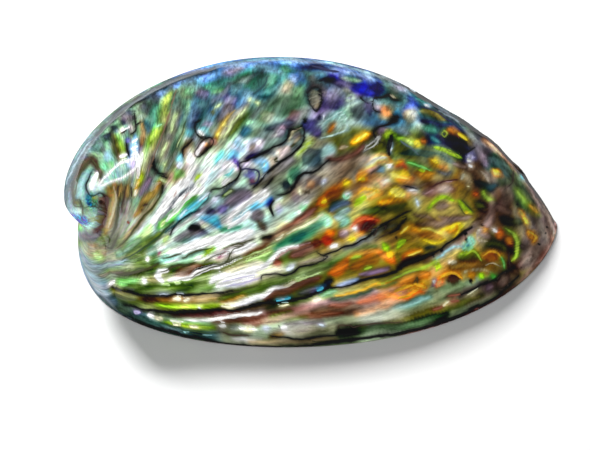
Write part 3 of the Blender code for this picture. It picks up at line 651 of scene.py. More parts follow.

# The gold flames. The white jewels, drops and glints among them and the strokes named lights are painted highlights
FLAMES = (
    ("rust line", BAND, ROSE_BROWN, 5, "328,160 342,158 356,153 364,147"),
    ("gold top streak", BAND, GOLD, 5, "353,142 362,138 369,134"),
    ("streak's light", GLINT, PALE_YELLOW, 2, "356,141 367,134"),
    ("pale gold", BAND, BEIGE, 4, "340,149 348,146"),
    ("silver loop", GLINT, SILVER, 1.8, "364,151 367,146 374,140 379,136 376,143 369,149 364,151"),
    ("lime beside the slot", BAND, YELLOW_GREEN, 7, "385,135 394,134"),
    ("slot", LINE, BLACK, 4.6, "392,134 389.5,145 389.5,156"),
    ("slot's light", GLINT, ICE, 1.6, "391,141 390.5,152"),
    ("olive field", BAND, OLIVE, 8, "372,148 384,144"),
    ("ring's base", BAND, GOLD, 9, "360,178 368,173"),
    ("ring's yellow light", GLINT, YELLOW, 4, "359,179 366,178"),
    ("ring", BAND, ORANGE, 4.5, "358,176 366,168 375,161 384,158 390,162"),
    ("ring's light", GLINT, CREAM, 1.6, "364,167 375,159 386,158"),
    ("ring's hollow", BAND, GREY_TEAL, 6, "380,170 385,166"),
    ("ring's dark crescent", LINE, DARK_BROWN, 2, "371,175 376,170 381,165"),
    ("white jewel", GLINT, WHITE, 4, "388,165 391,168"),
    ("yellow flame", BAND, YELLOW, 13, "398,174 410,178"),
    ("yellow flame's light", GLINT, PALE_YELLOW, 6, "392,173 400,177 410,179"),
    ("orange swirl", BAND, RED_ORANGE, 3.5, "396,168 402,164 406,168"),
    ("orange round the swirl", BAND, GOLD, 3, "394,165 402,161"),
    ("flame's foot", BAND, ORANGE, 5, "398,180 408,182 414,179"),
    ("green rim", GLINT, BRIGHT_GREEN, 2.6, "408,162 418,164 426,168 431,171"),
    ("lime flame", GLINT, LIME, 5, "419,170 426,172"),
    ("gold lobe", BAND, GOLD, 7, "418,173 428,175 434,174"),
    ("peach flame", BAND, PEACH, 9, "382,180 388,182"),
    ("peach light", GLINT, CREAM, 3, "384,180 388,180"),
    ("brown shade", BAND, BROWN, 5, "392,186 402,187 418,186 430,182"),
    ("dim slope", BAND, OCHRE, 9, "352,190 364,186 376,188"),
    ("orange slope line", BAND, ORANGE, 4, "324,196 334,189 344,183 350,181"),
    ("yellow slope light", GLINT, YELLOW, 5, "343,185 350,182"),
    ("brown under it", BAND, AMBER, 6, "326,202 336,194 346,190"),
    ("yellow flame, left", BAND, ORANGE, 8, "319,203 327,199"),
    ("its light", GLINT, YELLOW, 5, "322,202 328,200"),
    ("white-green drop", GLINT, BRIGHT_MINT, 5, "343,197 350,194"),
    ("drop's white", GLINT, WHITE, 2.6, "345,195 349,193"),
    ("dark slate hollow", BAND, SLATE, 8, "330,209 340,204 350,202"),
    ("green under it", BAND, SAGE_GREEN, 5, "336,216 350,209"),
    ("lime flame, left", GLINT, LIME, 4.5, "356,206 361,200 367,197"),
    ("orange round it", BAND, ORANGE, 3, "366,198 374,193 380,192"),
    ("gold line over it", GLINT, GOLD, 2.5, "358,194 366,190 378,192"),
    ("big yellow flame", BAND, YELLOW, 11, "392,192 401,191"),
    ("its light", GLINT, PALE_YELLOW, 5, "390,192 398,188", "394,196 404,194"),
    ("orange side", BAND, ORANGE, 5, "405,197 409,193"),
    ("peach side", BAND, PEACH, 5, "412,192 417,194"),
    ("black slot over it", LINE, BLACK, 2.4, "403,186 411,187 419,189"),
    ("its white hem", GLINT, WHITE, 2, "408,190 417,190"),
    ("white jewel below", GLINT, ICE, 3, "417,200 418,205"),
    ("olive drape", BAND, OLIVE, 12, "384,206 394,207 404,205"),
    ("drape's gold top", BAND, GOLD, 4, "380,202 392,201 404,200"),
    ("drape's shade", BAND, OLIVE, 7, "362,214 374,212 386,213"),
    ("mauve drape", BAND, ROSE_BROWN, 12, "424,192 438,188 452,190"),
    ("its dark top edge", LINE, DARK_MAROON, 2.4, "431,186 444,181 458,179"),
    ("its light", GLINT, ROSE, 1.8, "424,194 434,188", "446,182 452,181"),
    ("lime arc", GLINT, LIME, 3, "428,209 434,202 444,197 454,201"),
    ("lime shower", GLINT, LIME, 6, "459,201 464,208 469,213"),
    ("shower's yellow end", GLINT, YELLOW, 3.5, "465,212 467,214"),
    ("shower's olive ground", LINE, DARK_OLIVE, 1.4, "458,206 465,215", "462,200 472,212"),
    ("bronze under the arc", BAND, BROWN, 8, "436,208 448,205"),
    ("olive right of it", BAND, OLIVE, 7, "474,204 482,208"),
    ("dark lower edge", BAND, BROWN, 4, "438,216 452,219 466,218"),
    ("bronze shade", BAND, BROWN, 5, "414,214 426,217 436,222"),
    ("green field, left", BAND, SEA_GREEN, 9, "280,245 296,237 312,229 324,220"),
    ("its dark middle", BAND, TEAL, 5, "292,240 306,233"),
    ("its bright end", BAND, BRIGHT_MINT, 7, "318,220 326,218 326,226"),
    ("green to the right", BAND, SAGE_GREEN, 7, "334,216 344,220 340,226"),
    ("cream line", GLINT, CREAM, 3, "286,234 300,228 312,222 323,214"),
    ("pale line, left", GLINT, CREAM, 3, "276,240 284,234"),
    ("maroon ember", BAND, MAROON, 10, "354,229 364,226 372,225"),
    ("ember's shades", LINE, DARK_MAROON, 2, "360,230 368,222", "366,231 374,224"),
    ("ember's orange rim", GLINT, RED_ORANGE, 3, "350,228 356,221 366,219 378,221"),
    ("ember's foot", BAND, ORANGE, 4, "356,235 364,233"),
    ("ember's glint", GLINT, WHITE, 2.6, "353,227 355,229"),
    ("mauve-pink side", BAND, ROSE, 8, "338,237 346,232"),
    ("ember's yellow foot", GLINT, YELLOW, 4, "348,239 356,239"),
    ("orange flame", BAND, ORANGE, 7, "326,234 332,231"),
    ("red-orange flame", BAND, RED_ORANGE, 8, "322,242 330,241"),
    ("plum flame", BAND, ROSE_BROWN, 10, "290,256 302,250 314,246"),
    ("plum's red end", BAND, RUST, 7, "312,244 320,244"),
    ("plum's pale rim", GLINT, ROSE, 2.4, "276,260 284,252 296,246 310,243"),
    ("white before it", GLINT, WHITE, 3.5, "272,262 278,254 286,248 298,244"),
    ("white jewel under it", GLINT, WHITE, 4, "330,248 337,245"),
    ("beige under it", BAND, BEIGE, 4, "300,265 314,260 330,257"),
    ("cyan-white drop", GLINT, ICE, 6, "286,270 294,266"),
    ("rust light", BAND, RUST, 5, "274,266 280,262"),
    ("stone hem", BAND, STONE, 5, "344,250 360,244 372,238 382,230 396,224"),
    ("hem's cells", LINE, DARK_BROWN, 1.4, "366,241 369,235", "374,236 378,229", "384,231 386,226", "376,240 388,233"),
    ("hem's lights", GLINT, SILVER, 1.6, "358,242 366,236", "372,232 380,226"),
    ("green rise", BAND, OLIVE_GREEN, 8, "330,262 346,256 362,252 376,246"),
    ("lime fire", GLINT, LIME, 7, "384,244 389,250"),
    ("lime fire's yellow", GLINT, YELLOW, 5, "388,252 392,258"),
    ("orange beside it", BAND, ORANGE, 7, "378,254 386,256 394,261"),
    ("lime tongue", GLINT, LIME, 4, "397,249 401,243 407,239"),
    ("lime tongue's dark top", SPOT, DARK_OLIVE, 3, "396,238"),
    ("olive hollow", BAND, GOLDEN_OLIVE, 8, "398,254 410,249 420,248"),
    ("gold arc", BAND, GOLD, 5, "399,233 408,227 420,228 432,231"),
    ("gold arc's lights", GLINT, PALE_YELLOW, 2, "400,233 408,226", "422,228 434,230 442,233"),
    ("bronze heart of it", BAND, AMBER, 7, "424,234 434,236 442,239"),
    ("its yellow rim", GLINT, YELLOW, 2.6, "423,240 432,244 440,242 446,239"),
    ("olive left of it", BAND, GOLDEN_OLIVE, 7, "404,236 414,236"),
    ("orange streak", BAND, ORANGE, 4.5, "403,259 412,254 423,252"),
    ("streak's light", GLINT, PALE_YELLOW, 1.8, "408,257 422,252"),
    ("brown between", BAND, BROWN, 7, "398,266 410,262 424,257"),
    ("blue-grey shade", BAND, DARK_SLATE, 4, "426,250 436,247"),
    ("gold heart", SPOT, AMBER, 9, "451,229 454,229"),
    ("heart's fill", BAND, GOLD, 4.5, "448,228 456,227"),
    ("heart's rim", GLINT, YELLOW, 2, "442,229 449,226 458,224 461,228 456,235 452,237"),
    ("dark bronze band", BAND, BROWN, 7, "420,222 436,224 450,220 470,218"),
    ("mauve vein", BAND, BROWN, 7, "424,263 440,254 456,243 470,230 480,221"),
    ("gem", SPOT, SEA_GREEN, 9, "467,247 471,241"),
    ("gem's dark facet", SPOT, DEEP_TEAL, 4, "468,245"),
    ("gem's edge", GLINT, BRIGHT_MINT, 1.6, "463,243 466,248 471,249 473,243 470,237"),
    ("aqua line", GLINT, AQUA, 1.4, "436,260 444,254 452,248 462,246"),
    ("yellow line", GLINT, YELLOW_GREEN, 2.2, "364,289 382,283 404,274 424,268 438,260"),
    ("lime spark", GLINT, LIME, 7, "436,266 439,267"),
    ("bronze left", BAND, AMBER, 9, "376,288 392,283 410,278 426,275"),
    ("bronze streaks", BAND, OLIVE, 3, "380,281 398,276 418,271", "376,287 396,282"),
    ("gold grass", GLINT, GOLD, 3, "394,292 404,288 414,286", "398,298 410,294 420,290", "414,284 426,287"),
    ("orange grass", BAND, ORANGE, 5, "386,295 398,297", "406,299 416,296 424,293"),
    ("orange glow, left", BAND, ORANGE, 8, "378,298 390,294"),
    ("rose glow", BAND, PEACH, 7, "378,305 392,303 404,300"),
    ("notch", LINE, DARK_OLIVE, 1.1, "414,284 417,278 418,284"),
    ("silver spot", BAND, MAUVE, 7, "434,282 436,286"),
    ("spot's light", GLINT, SILVER, 2.6, "433,281 436,283"),
    ("orange left of the arc", BAND, PEACH, 5, "438,288 442,280"),
    ("gold arc below", GLINT, GOLD, 2.8, "441,279 447,275 456,274 464,279"),
    ("bronze under the arc", BAND, BROWN, 7, "448,282 458,280"),
    ("olive dome", BAND, OLIVE, 9, "458,258 468,256 476,257"),
    ("dome's rim", GLINT, YELLOW_GREEN, 2.4, "462,255 470,252 477,254 481,260"),
    ("amber dome", BAND, AMBER, 12, "486,258 496,258"),
    ("amber dome's rim", GLINT, GOLD, 2.6, "482,255 489,251 497,252 502,257"),
    ("its lime end", GLINT, BRIGHT_GREEN, 2.2, "502,257 505,263 505,269"),
    ("its pale hem", GLINT, BEIGE, 1.6, "484,265 492,263 502,267"),
    ("brown waves", BAND, OCHRE, 6, "450,268 464,266 480,264 494,267"),
    ("brown wave's lights", BAND, BEIGE, 3, "448,262 458,262", "466,272 480,269 492,272"),
    ("gold-olive spot", BAND, GOLD, 6, "468,278 474,276"),
    ("lime spot", GLINT, LIME, 4, "480,275 484,277"),
    ("green spot", BAND, BRIGHT_GREEN, 5, "491,277 495,275"),
    ("black dot", SPOT, BLACK, 3.6, "471,281"),
    ("orange rise", BAND, ORANGE, 9, "330,274 338,270 346,263"),
    ("orange rise's top", BAND, ORANGE, 6, "344,260 358,256 372,253 382,252"),
    ("olive heart of it", BAND, AMBER, 9, "350,268 364,263 378,259"),
    ("gold lights in it", GLINT, YELLOW_GREEN, 2.6, "364,270 372,267", "352,259 362,256"),
    ("slate foot", BAND, DARK_SLATE, 6, "326,284 334,282"),
    ("blue-grey hem", BAND, GREY_BLUE, 3.5, "338,286 348,282 358,279"),
    ("grey hem", BAND, MAUVE, 4, "360,275 376,271 390,267"),
)
# The skirt of bands low on the near side. Its white and cream fills, ridges, lines, rows, glints and reflections are
# painted highlights
SKIRT = (
    ("smooth end", BAND, GREY_BLUE, 15, "82,256 88,272 100,290 114,306"),
    ("beige above it", BAND, BEIGE, 10, "90,246 98,252 106,250"),
    ("beige's yellow light", BAND, PALE_GREEN, 5, "94,254 102,258"),
    ("mint above it", BAND, SAGE_GREEN, 8, "116,252 122,254"),
    ("grey sweep over it", BAND, GREY_BLUE, 5, "84,264 100,266 116,264 126,260"),
    ("stone shade", BAND, STONE, 5, "98,274 110,276 122,272"),
    ("dark shade", LINE, DARK_OLIVE, 3.5, "116,274 132,273 146,270 158,264"),
    ("first glints", GLINT, WHITE, 3.4, "110,284 115,280", "142,283 147,280"),
    ("bright green dash", BAND, BRIGHT_GREEN, 4.5, "119,281 128,282 136,281"),
    ("olive dash", BAND, OLIVE, 4, "148,280 158,282"),
    ("green glints", GLINT, PALE_GREEN, 2.6, "163,284 170,285", "174,284 180,284"),
    ("white glints", GLINT, WHITE, 2.4, "176,285", "184,283"),
    ("dark green band", BAND, OLIVE_GREEN, 6, "126,288 144,290 166,289 190,287"),
    ("olive band", BAND, OLIVE_GREEN, 5, "180,282 200,279 222,273"),
    ("brown-olive band", BAND, OLIVE, 4, "196,272 216,266"),
    ("white reflections", GLINT, WHITE, 5, "210,282 220,276 232,272", "216,287 232,282 242,280"),
    ("pale reflections", GLINT, CREAM, 4, "226,272 236,268"),
    ("blue-white dashes", GLINT, ICE, 2.2, "160,294.5 169,294.5", "175,294.5 184,294"),
    ("bronze band", BAND, OCHRE, 6, "140,298 156,299 180,300 206,298 236,293"),
    ("bronze band's dark part", BAND, BROWN, 4, "144,299 158,301"),
    ("rosy glints", GLINT, CREAM, 3.6, "172,300 181,300", "184,301 190,298"),
    ("green line under it", BAND, YELLOW_GREEN, 3, "156,304 176,307 200,308 222,306 238,302"),
    ("cream line", GLINT, CREAM, 3, "224,304 236,302"),
    ("white dash", GLINT, WHITE, 2, "200,308"),
    ("lilac glint", GLINT, LILAC, 4, "133,312 140,313"),
    ("white glint", GLINT, WHITE, 4, "148,315 155,316"),
    ("pale tail", GLINT, CREAM, 3, "156,317 164,319"),
    ("rust line", BAND, ROSE_BROWN, 4, "174,314 192,315 214,314 240,311"),
    ("white line", GLINT, WHITE, 4, "184,319 198,319.5 216,318.5 240,315.5 262,312"),
    ("white line's left end", GLINT, WHITE, 3, "170,320 184,321"),
    ("magenta line", BAND, ROSE_BROWN, 4, "214,320.5 232,320 250,318 264,316"),
    ("lime row", BAND, YELLOW_GREEN, 5, "166,322 178,324 192,326 206,327 214,327"),
    ("lime row's lights", GLINT, CREAM, 3, "173,325 181,325", "190,326 198,327"),
    ("white end of the row", GLINT, WHITE, 5, "218,325 226,325"),
    ("grey end of the row", BAND, SILVER, 5, "230,327 238,328"),
    ("green-dark line", LINE, DARK_GREEN, 2, "160,322 174,327 190,331 206,333 218,332"),
    ("foot's lights", GLINT, AQUA, 2, "184,331 190,332", "202,335 212,335"),
    ("grey foot", BAND, GREY_TEAL, 6, "128,314 144,322 162,328 184,333 214,338"),
    ("white fill", GLINT, WHITE, 12, "224,284 238,280 252,274"),
    ("lilac lines in it", LINE, LILAC, 1.6, "222,282 238,278 254,276", "226,287 244,283 260,278"),
    ("cream fill", GLINT, CREAM, 8, "226,272 244,268 262,262"),
    ("white fill above", GLINT, WHITE, 7, "230,278 246,272 262,266 274,258"),
    ("olive band, middle", BAND, OLIVE_GREEN, 9, "222,298 240,293 262,286 286,278 308,271 328,263"),
    ("its brown foot", BAND, OCHRE, 3, "222,302 244,296"),
    ("its green light", GLINT, PALE_GREEN, 2.4, "290,283 304,279 320,273", "296,278 306,275"),
    ("white ridge", GLINT, WHITE, 6, "230,305 246,302 262,296 276,289 290,285"),
    ("cream ridge", GLINT, CREAM, 3.4, "222,307 234,306", "284,286 298,281"),
    ("mauve hollow", BAND, ROSE_BROWN, 8, "264,298 284,292 302,284 320,278"),
    ("grey hollow", BAND, GREY, 5, "300,293 312,290 322,286"),
    ("cyan drops", GLINT, BRIGHT_CYAN, 4.5, "276,302 284,300 291,297", "318,291 324,287"),
    ("cyan drops' white", GLINT, ICE, 2, "278,301 286,298"),
    ("lilac-grey hem", BAND, LILAC, 4, "312,294 326,289"),
    ("rose band", BAND, ROSE_BROWN, 11, "258,321 280,316 304,313 330,311 356,307 380,303"),
    ("rose band's brown end", BAND, BROWN, 9, "314,313 338,310 362,306"),
    ("rose band's left end", BAND, ROSE, 7, "246,324 262,322"),
    ("rust lights", BAND, RUST, 4, "300,318 320,315 342,312", "330,306 352,303"),
    ("orange lights", BAND, PEACH, 3, "356,314 374,309 392,304"),
    ("rose band's olive streaks", BAND, OLIVE, 2.4, "270,316 292,312", "288,322 306,318"),
    ("olive line, middle", BAND, OLIVE_GREEN, 5, "268,308 288,304 314,298 340,293 366,288 392,282"),
    ("green part", BAND, GREEN, 4, "322,295 336,291"),
    ("gold line", GLINT, GOLD, 2, "336,296 352,292 370,287 392,280"),
    ("glints on it", GLINT, CREAM, 3, "279,307 290,305", "314,300 321,298"),
    ("dark green slope", BAND, DARK_GREEN, 4, "330,300 350,296 372,291"),
    ("rust slope", BAND, RED_ORANGE, 5, "358,302 372,299 386,296"),
    ("black speck", SPOT, BLACK, 3, "279,327"),
    ("white beside the speck", GLINT, WHITE, 5, "281,330 288,327"),
    ("white row", GLINT, WHITE, 6, "240,328 250,329 258,330"),
    ("yellow in the row", GLINT, CREAM, 5, "244,329 252,331"),
    ("lilac in the row", BAND, LILAC, 5, "262,329 268,328"),
    ("black under the row", LINE, DARK_BROWN, 1.8, "222,332 234,335 250,336"),
    ("grey under the row", BAND, SILVER, 4, "232,338 250,340 262,338"),
    ("sage foot, middle", BAND, SAGE, 8, "294,331 310,330 326,329"),
    ("its light", GLINT, ICE, 2.4, "318,325 324,325"),
    ("brown spot of the foot", BAND, OCHRE, 5, "270,336 284,334"),
    ("mauve foot line", BAND, MAUVE, 3, "286,325 304,323 322,322"),
    ("beige foot", BAND, BEIGE, 4, "250,341 280,342 310,341 336,339"),
    ("dark green foot", BAND, DARK_GREEN, 6, "336,333 356,330 376,327 396,324"),
    ("foot's green light", BAND, OLIVE_GREEN, 3, "352,327 366,325"),
    ("sage foot, right", BAND, SAGE, 10, "384,314 404,307 426,300 446,292 462,287"),
    ("sage foot's pale part", BAND, MINT, 5, "396,309 412,303 430,297"),
    ("olive foot, right", BAND, OLIVE, 7, "384,322 408,319 434,312 458,304 482,295"),
    ("dark green, right", BAND, DARK_GREEN, 7, "380,328 402,326 426,321 448,314"),
    ("beige cells", BAND, BEIGE, 7, "446,304 456,300", "470,296 478,291"),
    ("mauve cells", BAND, MAUVE, 6, "486,290 494,286"),
    ("cells' lights", GLINT, CREAM, 1.6, "468,295 478,288", "442,305 450,301"),
    ("brown cracks", LINE, RUST, 2.4, "433,310 442,305", "451,302 460,300", "448,296 462,294"),
    ("outlined oval", SPOT, MAUVE_BROWN, 10, "501,283 505,278"),
    ("oval's outline", LINE, DARK_BROWN, 1.2, "497,288 497,281 500,275 506,273", "508,276 508,284 503,289 498,289"),
    ("brown right end", BAND, MAUVE_BROWN, 8, "514,268 522,264 532,256"),
    ("brown hollow", BAND, BROWN, 6, "510,262 512,270 516,276"),
)

CREASES = (
    ("upper crease", LINE, BLACK, 2.6, "241,163 250,159 262,154 270,149 278,146 286,139 289,131 296,129 302,125"),
    ("long crease", LINE, BLACK, 3.2, "252,188 260,181 267,173 276,165 288,157 297,149 304,140 304,129"),
    ("second crease", LINE, BLACK, 3.2, "277,196 289,193 294,187 298,178 303,173 313,172 322,165 329,160"),
    ("left crease", LINE, BLACK, 2, "197,211 188,216 178,224 170,235"),
    ("plum crease", LINE, BLACK, 3.2, "317,252 323,255 334,253 342,248 356,244 367,238 374,231 382,225 394,219 412,210"),
    ("branch", LINE, BLACK, 2.4, "390,233 398,227 407,218"),
    ("white band's crease", LINE, BLACK, 2.6, "261,280 264,275 275,274 285,276 294,272 300,268 314,264 328,257"),
    ("thin crease beyond it", LINE, DARK_OLIVE, 1.8, "220,294 240,291 260,284"),
    ("great crease, right", LINE, BLACK, 3.8, "346,286 362,280 380,276 392,272 407,264 420,259 432,255 444,246 454,239 463,233 472,226"),
    ("great crease, middle", LINE, BLACK, 3.4, "220,310 237,309 254,305 267,302 277,303 289,300 307,297 323,290 346,286"),
    ("great crease, left", LINE, BLACK, 3, "124,305 140,309 154,311 176,312 198,311 220,310"),
    ("lower left crease", LINE, BLACK, 2.8, "112,286 124,291 140,294 158,295 178,295 198,294 216,293 232,291"),
    ("dots on the great crease", SPOT, BLACK, 3.4, "465.5,234", "466,239", "442,251", "434,256"),
    ("right crease", LINE, BLACK, 3, "460,296 470,291 478,287 488,283 497,279"),
    ("right branch", LINE, BLACK, 1.8, "497,279 500,274 508,271 514,268"),
    ("ring of dark, right end", LINE, DARK_BROWN, 1.8, "510,252 510,260 511,267"),
    ("cracks in the foot", LINE, DARK_BROWN, 1.8, "338,329 339,326 350,325 352,327 364,324 384,323 402,321"),
    ("line over the foot", LINE, BLACK, 2.4, "270,336 286,338 304,338.5 322,337 342,335 360,333"),
)

# The outline and the rim. The darker strokes along the top outline are painted shade where the surface turns away from
# the camera
RIM = (
    ("outline, left", BAND, SLATE, 3, "66,222 64.5,205 68,186 75,168 85,151 97,136"),
    ("outline, shoulder", BAND, DARK_SLATE, 4, "97,135 110,121 128,106.5 148,94 170,83 190,76 216,68"),
    ("outline, crest", BAND, STEEL, 3.5, "216,68 240,62.5 275,59 315,60 350,66.5 378,76.5"),
    ("outline, right", BAND, DARK_SLATE, 4, "378,76.5 402,84.5 424,94.5 446,107 466,120.5 486,135.5"),
    ("outline, far right", BAND, DARK_BROWN, 4, "486,135.5 508,155.5 526,174.5 540,192.5 550,208 555,222"),
    ("dark rim, left", LINE, DARK_SLATE, 2.6, "100,296 112,307 124,316 138,323"),
    ("dark rim, middle", LINE, BLACK, 3.6, "124,317 140,323 156,328 186,336 220,342.5 254,346 290,346.5"),
    ("dark rim, right", LINE, BLACK, 5, "290,346.5 334,343 370,338 400,333 428,326.5 450,319.5 472,310 490,301 502,293"),
    ("maroon rim", BAND, DARK_MAROON, 3, "400,335 428,329 452,321 474,311 496,299 514,287"),
    ("maroon rim's light", BAND, ROSE_BROWN, 2, "460,319 482,308 502,296 520,282 534,268 544,254"),
    ("tip's mauve rim", BAND, ROSE_BROWN, 3, "540,262 548,248 554,234 555,222"),
    ("black rim, far right", LINE, BLACK, 3, "500,292 510,284 518,276"),
)


def bell(value, middle, spread):
    """1 at the middle, falling smoothly to nothing about two spreads away."""
    return np.exp(-(((value - middle) / spread) ** 2))


def wrapped(angles):
    """Angles brought into -pi to pi."""
    return (angles + math.pi) % (2 * math.pi) - math.pi


def eased(value):
    """0 below 0, 1 above 1, and a smooth step between."""
    value = np.clip(value, 0.0, 1.0)
    return value * value * (3 - 2 * value)


def mixed(low, high, share):
    return low + (high - low) * share


def noise(points, seed):
    """Smooth random values between 0 and 1, from points in three dimensions."""
    cells = np.floor(points).astype(np.int64)
    inside = points - cells
    inside = inside * inside * (3 - 2 * inside)
    total = np.zeros(len(points))
    for corner in itertools.product((0, 1), repeat=3):
        lattice = cells + np.array(corner)
        mixed_up = lattice[:, 0] * 73856093 ^ lattice[:, 1] * 19349663 ^ lattice[:, 2] * 83492791
        mixed_up = (mixed_up ^ (seed * 2654435761)) & 0xFFFFFFFF
        mixed_up = ((mixed_up ^ (mixed_up >> 15)) * 2246822519) & 0xFFFFFFFF
        mixed_up = ((mixed_up ^ (mixed_up >> 13)) * 3266489917) & 0xFFFFFFFF
        value = ((mixed_up ^ (mixed_up >> 16)) & 0xFFFF) / 65535.0
        weight = np.where(np.array(corner), inside, 1 - inside).prod(axis=1)
        total += value * weight
    return total


def wall_strength(angles):
    """1 where the steep wall stands and 0 where there is none, by the mouth's angle."""
    around = angles % (2 * math.pi)
    return eased((around - WALL_START) / WALL_FADE) * eased((WALL_END - around) / WALL_FADE)


def wall_rise(angles):
    """How high the steep wall rises: up to the keel, and lower where it meets the spire."""
    around = angles % (2 * math.pi)
    lower = eased((around - WALL_LOWERS) / WALL_LOWERS_OVER)
    return mixed(WALL_RISE, WALL_RISE_AT_SPIRE, lower) * wall_strength(angles)


def mouth_outline(angles, turn=0.0):
    """The rim of the mouth in its own plane, as shares of UNIT; the young mouth was an oval."""
    egg = math.exp(-((turn / OVAL_BEFORE) ** 2))
    x = HALF_LENGTH * np.cos(angles)
    x = x + egg * (PULL_X2 * np.cos(2 * angles) + PULL_X3 * np.cos(3 * angles))
    pull = PULL_Y2 * np.sin(2 * angles) + PULL_Y3 * np.sin(3 * angles) + PULL_Y4 * np.sin(4 * angles)
    skew = SKEW_Y1 * np.cos(angles) + SKEW_Y2 * np.cos(2 * angles) + SKEW_Y3 * np.cos(3 * angles)
    y = HALF_WIDTH * np.sin(angles) + egg * (pull + skew)
    return np.stack([x, y, np.zeros_like(x)], axis=-1)


def shrinkage(turn):
    """The natural logarithm of how much smaller the mouth was this many radians ago."""
    return WIDENING * turn + WIDENING_OLD * turn * turn / (1 + turn)


def grown_loop(turn, angles):
    """The mouth's rim when the shell was this many radians of growth younger."""
    back = Matrix.Rotation(turn, 3, Vector(GROWTH_AXIS))
    rim = mouth_outline(angles, turn) - APEX
    return APEX + math.exp(-shrinkage(turn)) * rim @ np.array(back).T


def placed(points):
    """Shares of UNIT, turned and centred and made metres."""
    spin = np.array(Matrix.Rotation(YAW, 3, "Z"))
    return UNIT * (points @ spin.T - MIDDLE)


def end_wall(share, angles):
    """The steep wall under the spire: share 0 is on the rim, 1 is its top edge, further in."""
    rim = mouth_outline(angles)
    wall = rim + (HEART * (1, 1, 0) - rim) * WALL_LEAN * share * share
    wall[:, 2] = wall_rise(angles) * share
    return wall


def ring_quads(rows, columns, start):
    """The quads of a grid whose columns close into rings."""
    row, column = np.meshgrid(np.arange(rows - 1), np.arange(columns), indexing="ij")
    here = start + row * columns + column
    beside = start + row * columns + (column + 1) % columns
    return np.stack([here, beside, beside + columns, here + columns], axis=-1).reshape(-1, 4)


class Growth:
    """The surfaces that bound the shell, which rays are cast at."""

    def __init__(self):
        turns = np.linspace(0.0, OLDEST_TURN, SWEEP_TURNS)
        angles = np.linspace(0.0, 2 * math.pi, SWEEP_ANGLES, endpoint=False)
        loops = [grown_loop(turn, angles) for turn in turns]
        loops.append(APEX + 0 * loops[-1])
        walls = [end_wall(share, angles) for share in np.linspace(0.0, 1.0, WALL_STEPS)]
        self.corners = placed(np.concatenate(loops + walls))
        swept = ring_quads(SWEEP_TURNS + 1, SWEEP_ANGLES, 0)
        wall = ring_quads(WALL_STEPS, SWEEP_ANGLES, (SWEEP_TURNS + 1) * SWEEP_ANGLES)
        self.swept = len(swept)
        self.quads = np.concatenate([swept, wall])
        self.tree = BVHTree.FromPolygons(self.corners.tolist(), self.quads.tolist())

    def outermost(self, directions):
        """How far the outside is from the heart in these directions, and its turn and angle."""
        heart = Vector(placed(HEART))
        rays = [Vector(way) for way in directions]
        hits = [self.tree.ray_cast(heart + ray * UNIT, -ray) for ray in rays]
        places = np.array([hit[0] for hit in hits])
        faces = np.array([hit[2] for hit in hits])
        corner, beside, _, older = np.swapaxes(self.corners[self.quads[faces]], 0, 1)
        along = self.share(places, corner, beside)
        back = self.share(places, corner, older)
        row, column = np.divmod(faces % self.swept, SWEEP_ANGLES)
        angle = (column + along) * 2 * math.pi / SWEEP_ANGLES
        turn = (row + back) * OLDEST_TURN / (SWEEP_TURNS - 1)
        up_wall = (row + back) / (WALL_STEPS - 1)
        on_wall = faces >= self.swept
        reach = np.linalg.norm(places - np.array(heart), axis=1)
        return reach, np.where(on_wall, 0.0, turn), angle, np.where(on_wall, up_wall, 0.0)

    def hole(self, turn):
        """Where the row of breathing holes passes at this turn, and which way it faces."""
        heart = Vector(placed(HEART))
        middle = Vector(placed(grown_loop(turn, np.array([HOLE_ANGLE])))[0])
        away = (middle - heart).normalized()
        _, upright, _, _ = self.tree.ray_cast(heart + away * UNIT, -away)
        return middle, upright

    def hidden(self, places, ways):
        """1 where the shell itself stands in the way of these rays, else 0."""
        hits = [self.tree.ray_cast(Vector(place), Vector(way)) for place, way in zip(places, ways)]
        return np.array([0.0 if hit[0] is None else 1.0 for hit in hits])

    @staticmethod
    def share(places, start, end):
        edge = end - start
        return ((places - start) * edge).sum(axis=1) / np.maximum((edge * edge).sum(axis=1), 1e-14)


def disc_from_square(across, up):
    """A square's points spread evenly over a disc: how far out they lie, and at what angle."""
    wide = np.abs(across) > np.abs(up)
    out = np.where(wide, across, up)
    ratio = np.where(wide, up, across) / np.where(out == 0, 1.0, out)
    angle = np.where(wide, ratio, 2 - ratio) * math.pi / 4
    return np.abs(out), np.where(out < 0, angle + math.pi, angle) % (2 * math.pi)


def dome_direction(height_share, angles):
    """From the heart through the dome: 0 is the dome's top, 1 is the mouth's rim."""
    phase = 0.5 * math.pi * height_share[..., None]
    dome = np.cos(phase) * DOME_TOP + np.sin(phase) * mouth_outline(angles)
    away = placed(dome) - placed(HEART)
    return away / np.linalg.norm(away, axis=-1, keepdims=True)


def blurred(grid, radius):
    """A grid's values evened out over a radius, by three passes of a running mean."""
    for axis in (0, 1, 0, 1, 0, 1):
        padded = np.pad(grid, [(radius, radius) if side == axis else (0, 0) for side in (0, 1)], mode="edge")
        total = np.cumsum(padded, axis=axis)
        total = np.concatenate([np.zeros_like(np.take(total, [0], axis=axis)), total], axis=axis)
        width = 2 * radius + 1
        count = grid.shape[axis]
        high = np.take(total, np.arange(width, width + count), axis=axis)
        low = np.take(total, np.arange(count), axis=axis)
        grid = (high - low) / width
    return grid


def spread_over(grid, places):
    """A grid's values, those at some places replaced by an even spread of the ones around."""
    for radius in SPREAD_RADII:
        for _ in range(SPREAD_ROUNDS):
            grid = np.where(places, blurred(grid, radius), grid)
    return grid


def facing(places):
    """The outward unit normals of a grid of places."""
    across = np.gradient(places, axis=0)
    up = np.gradient(places, axis=1)
    normals = np.cross(across, up)
    return normals / np.maximum(np.linalg.norm(normals, axis=-1, keepdims=True), 1e-12)


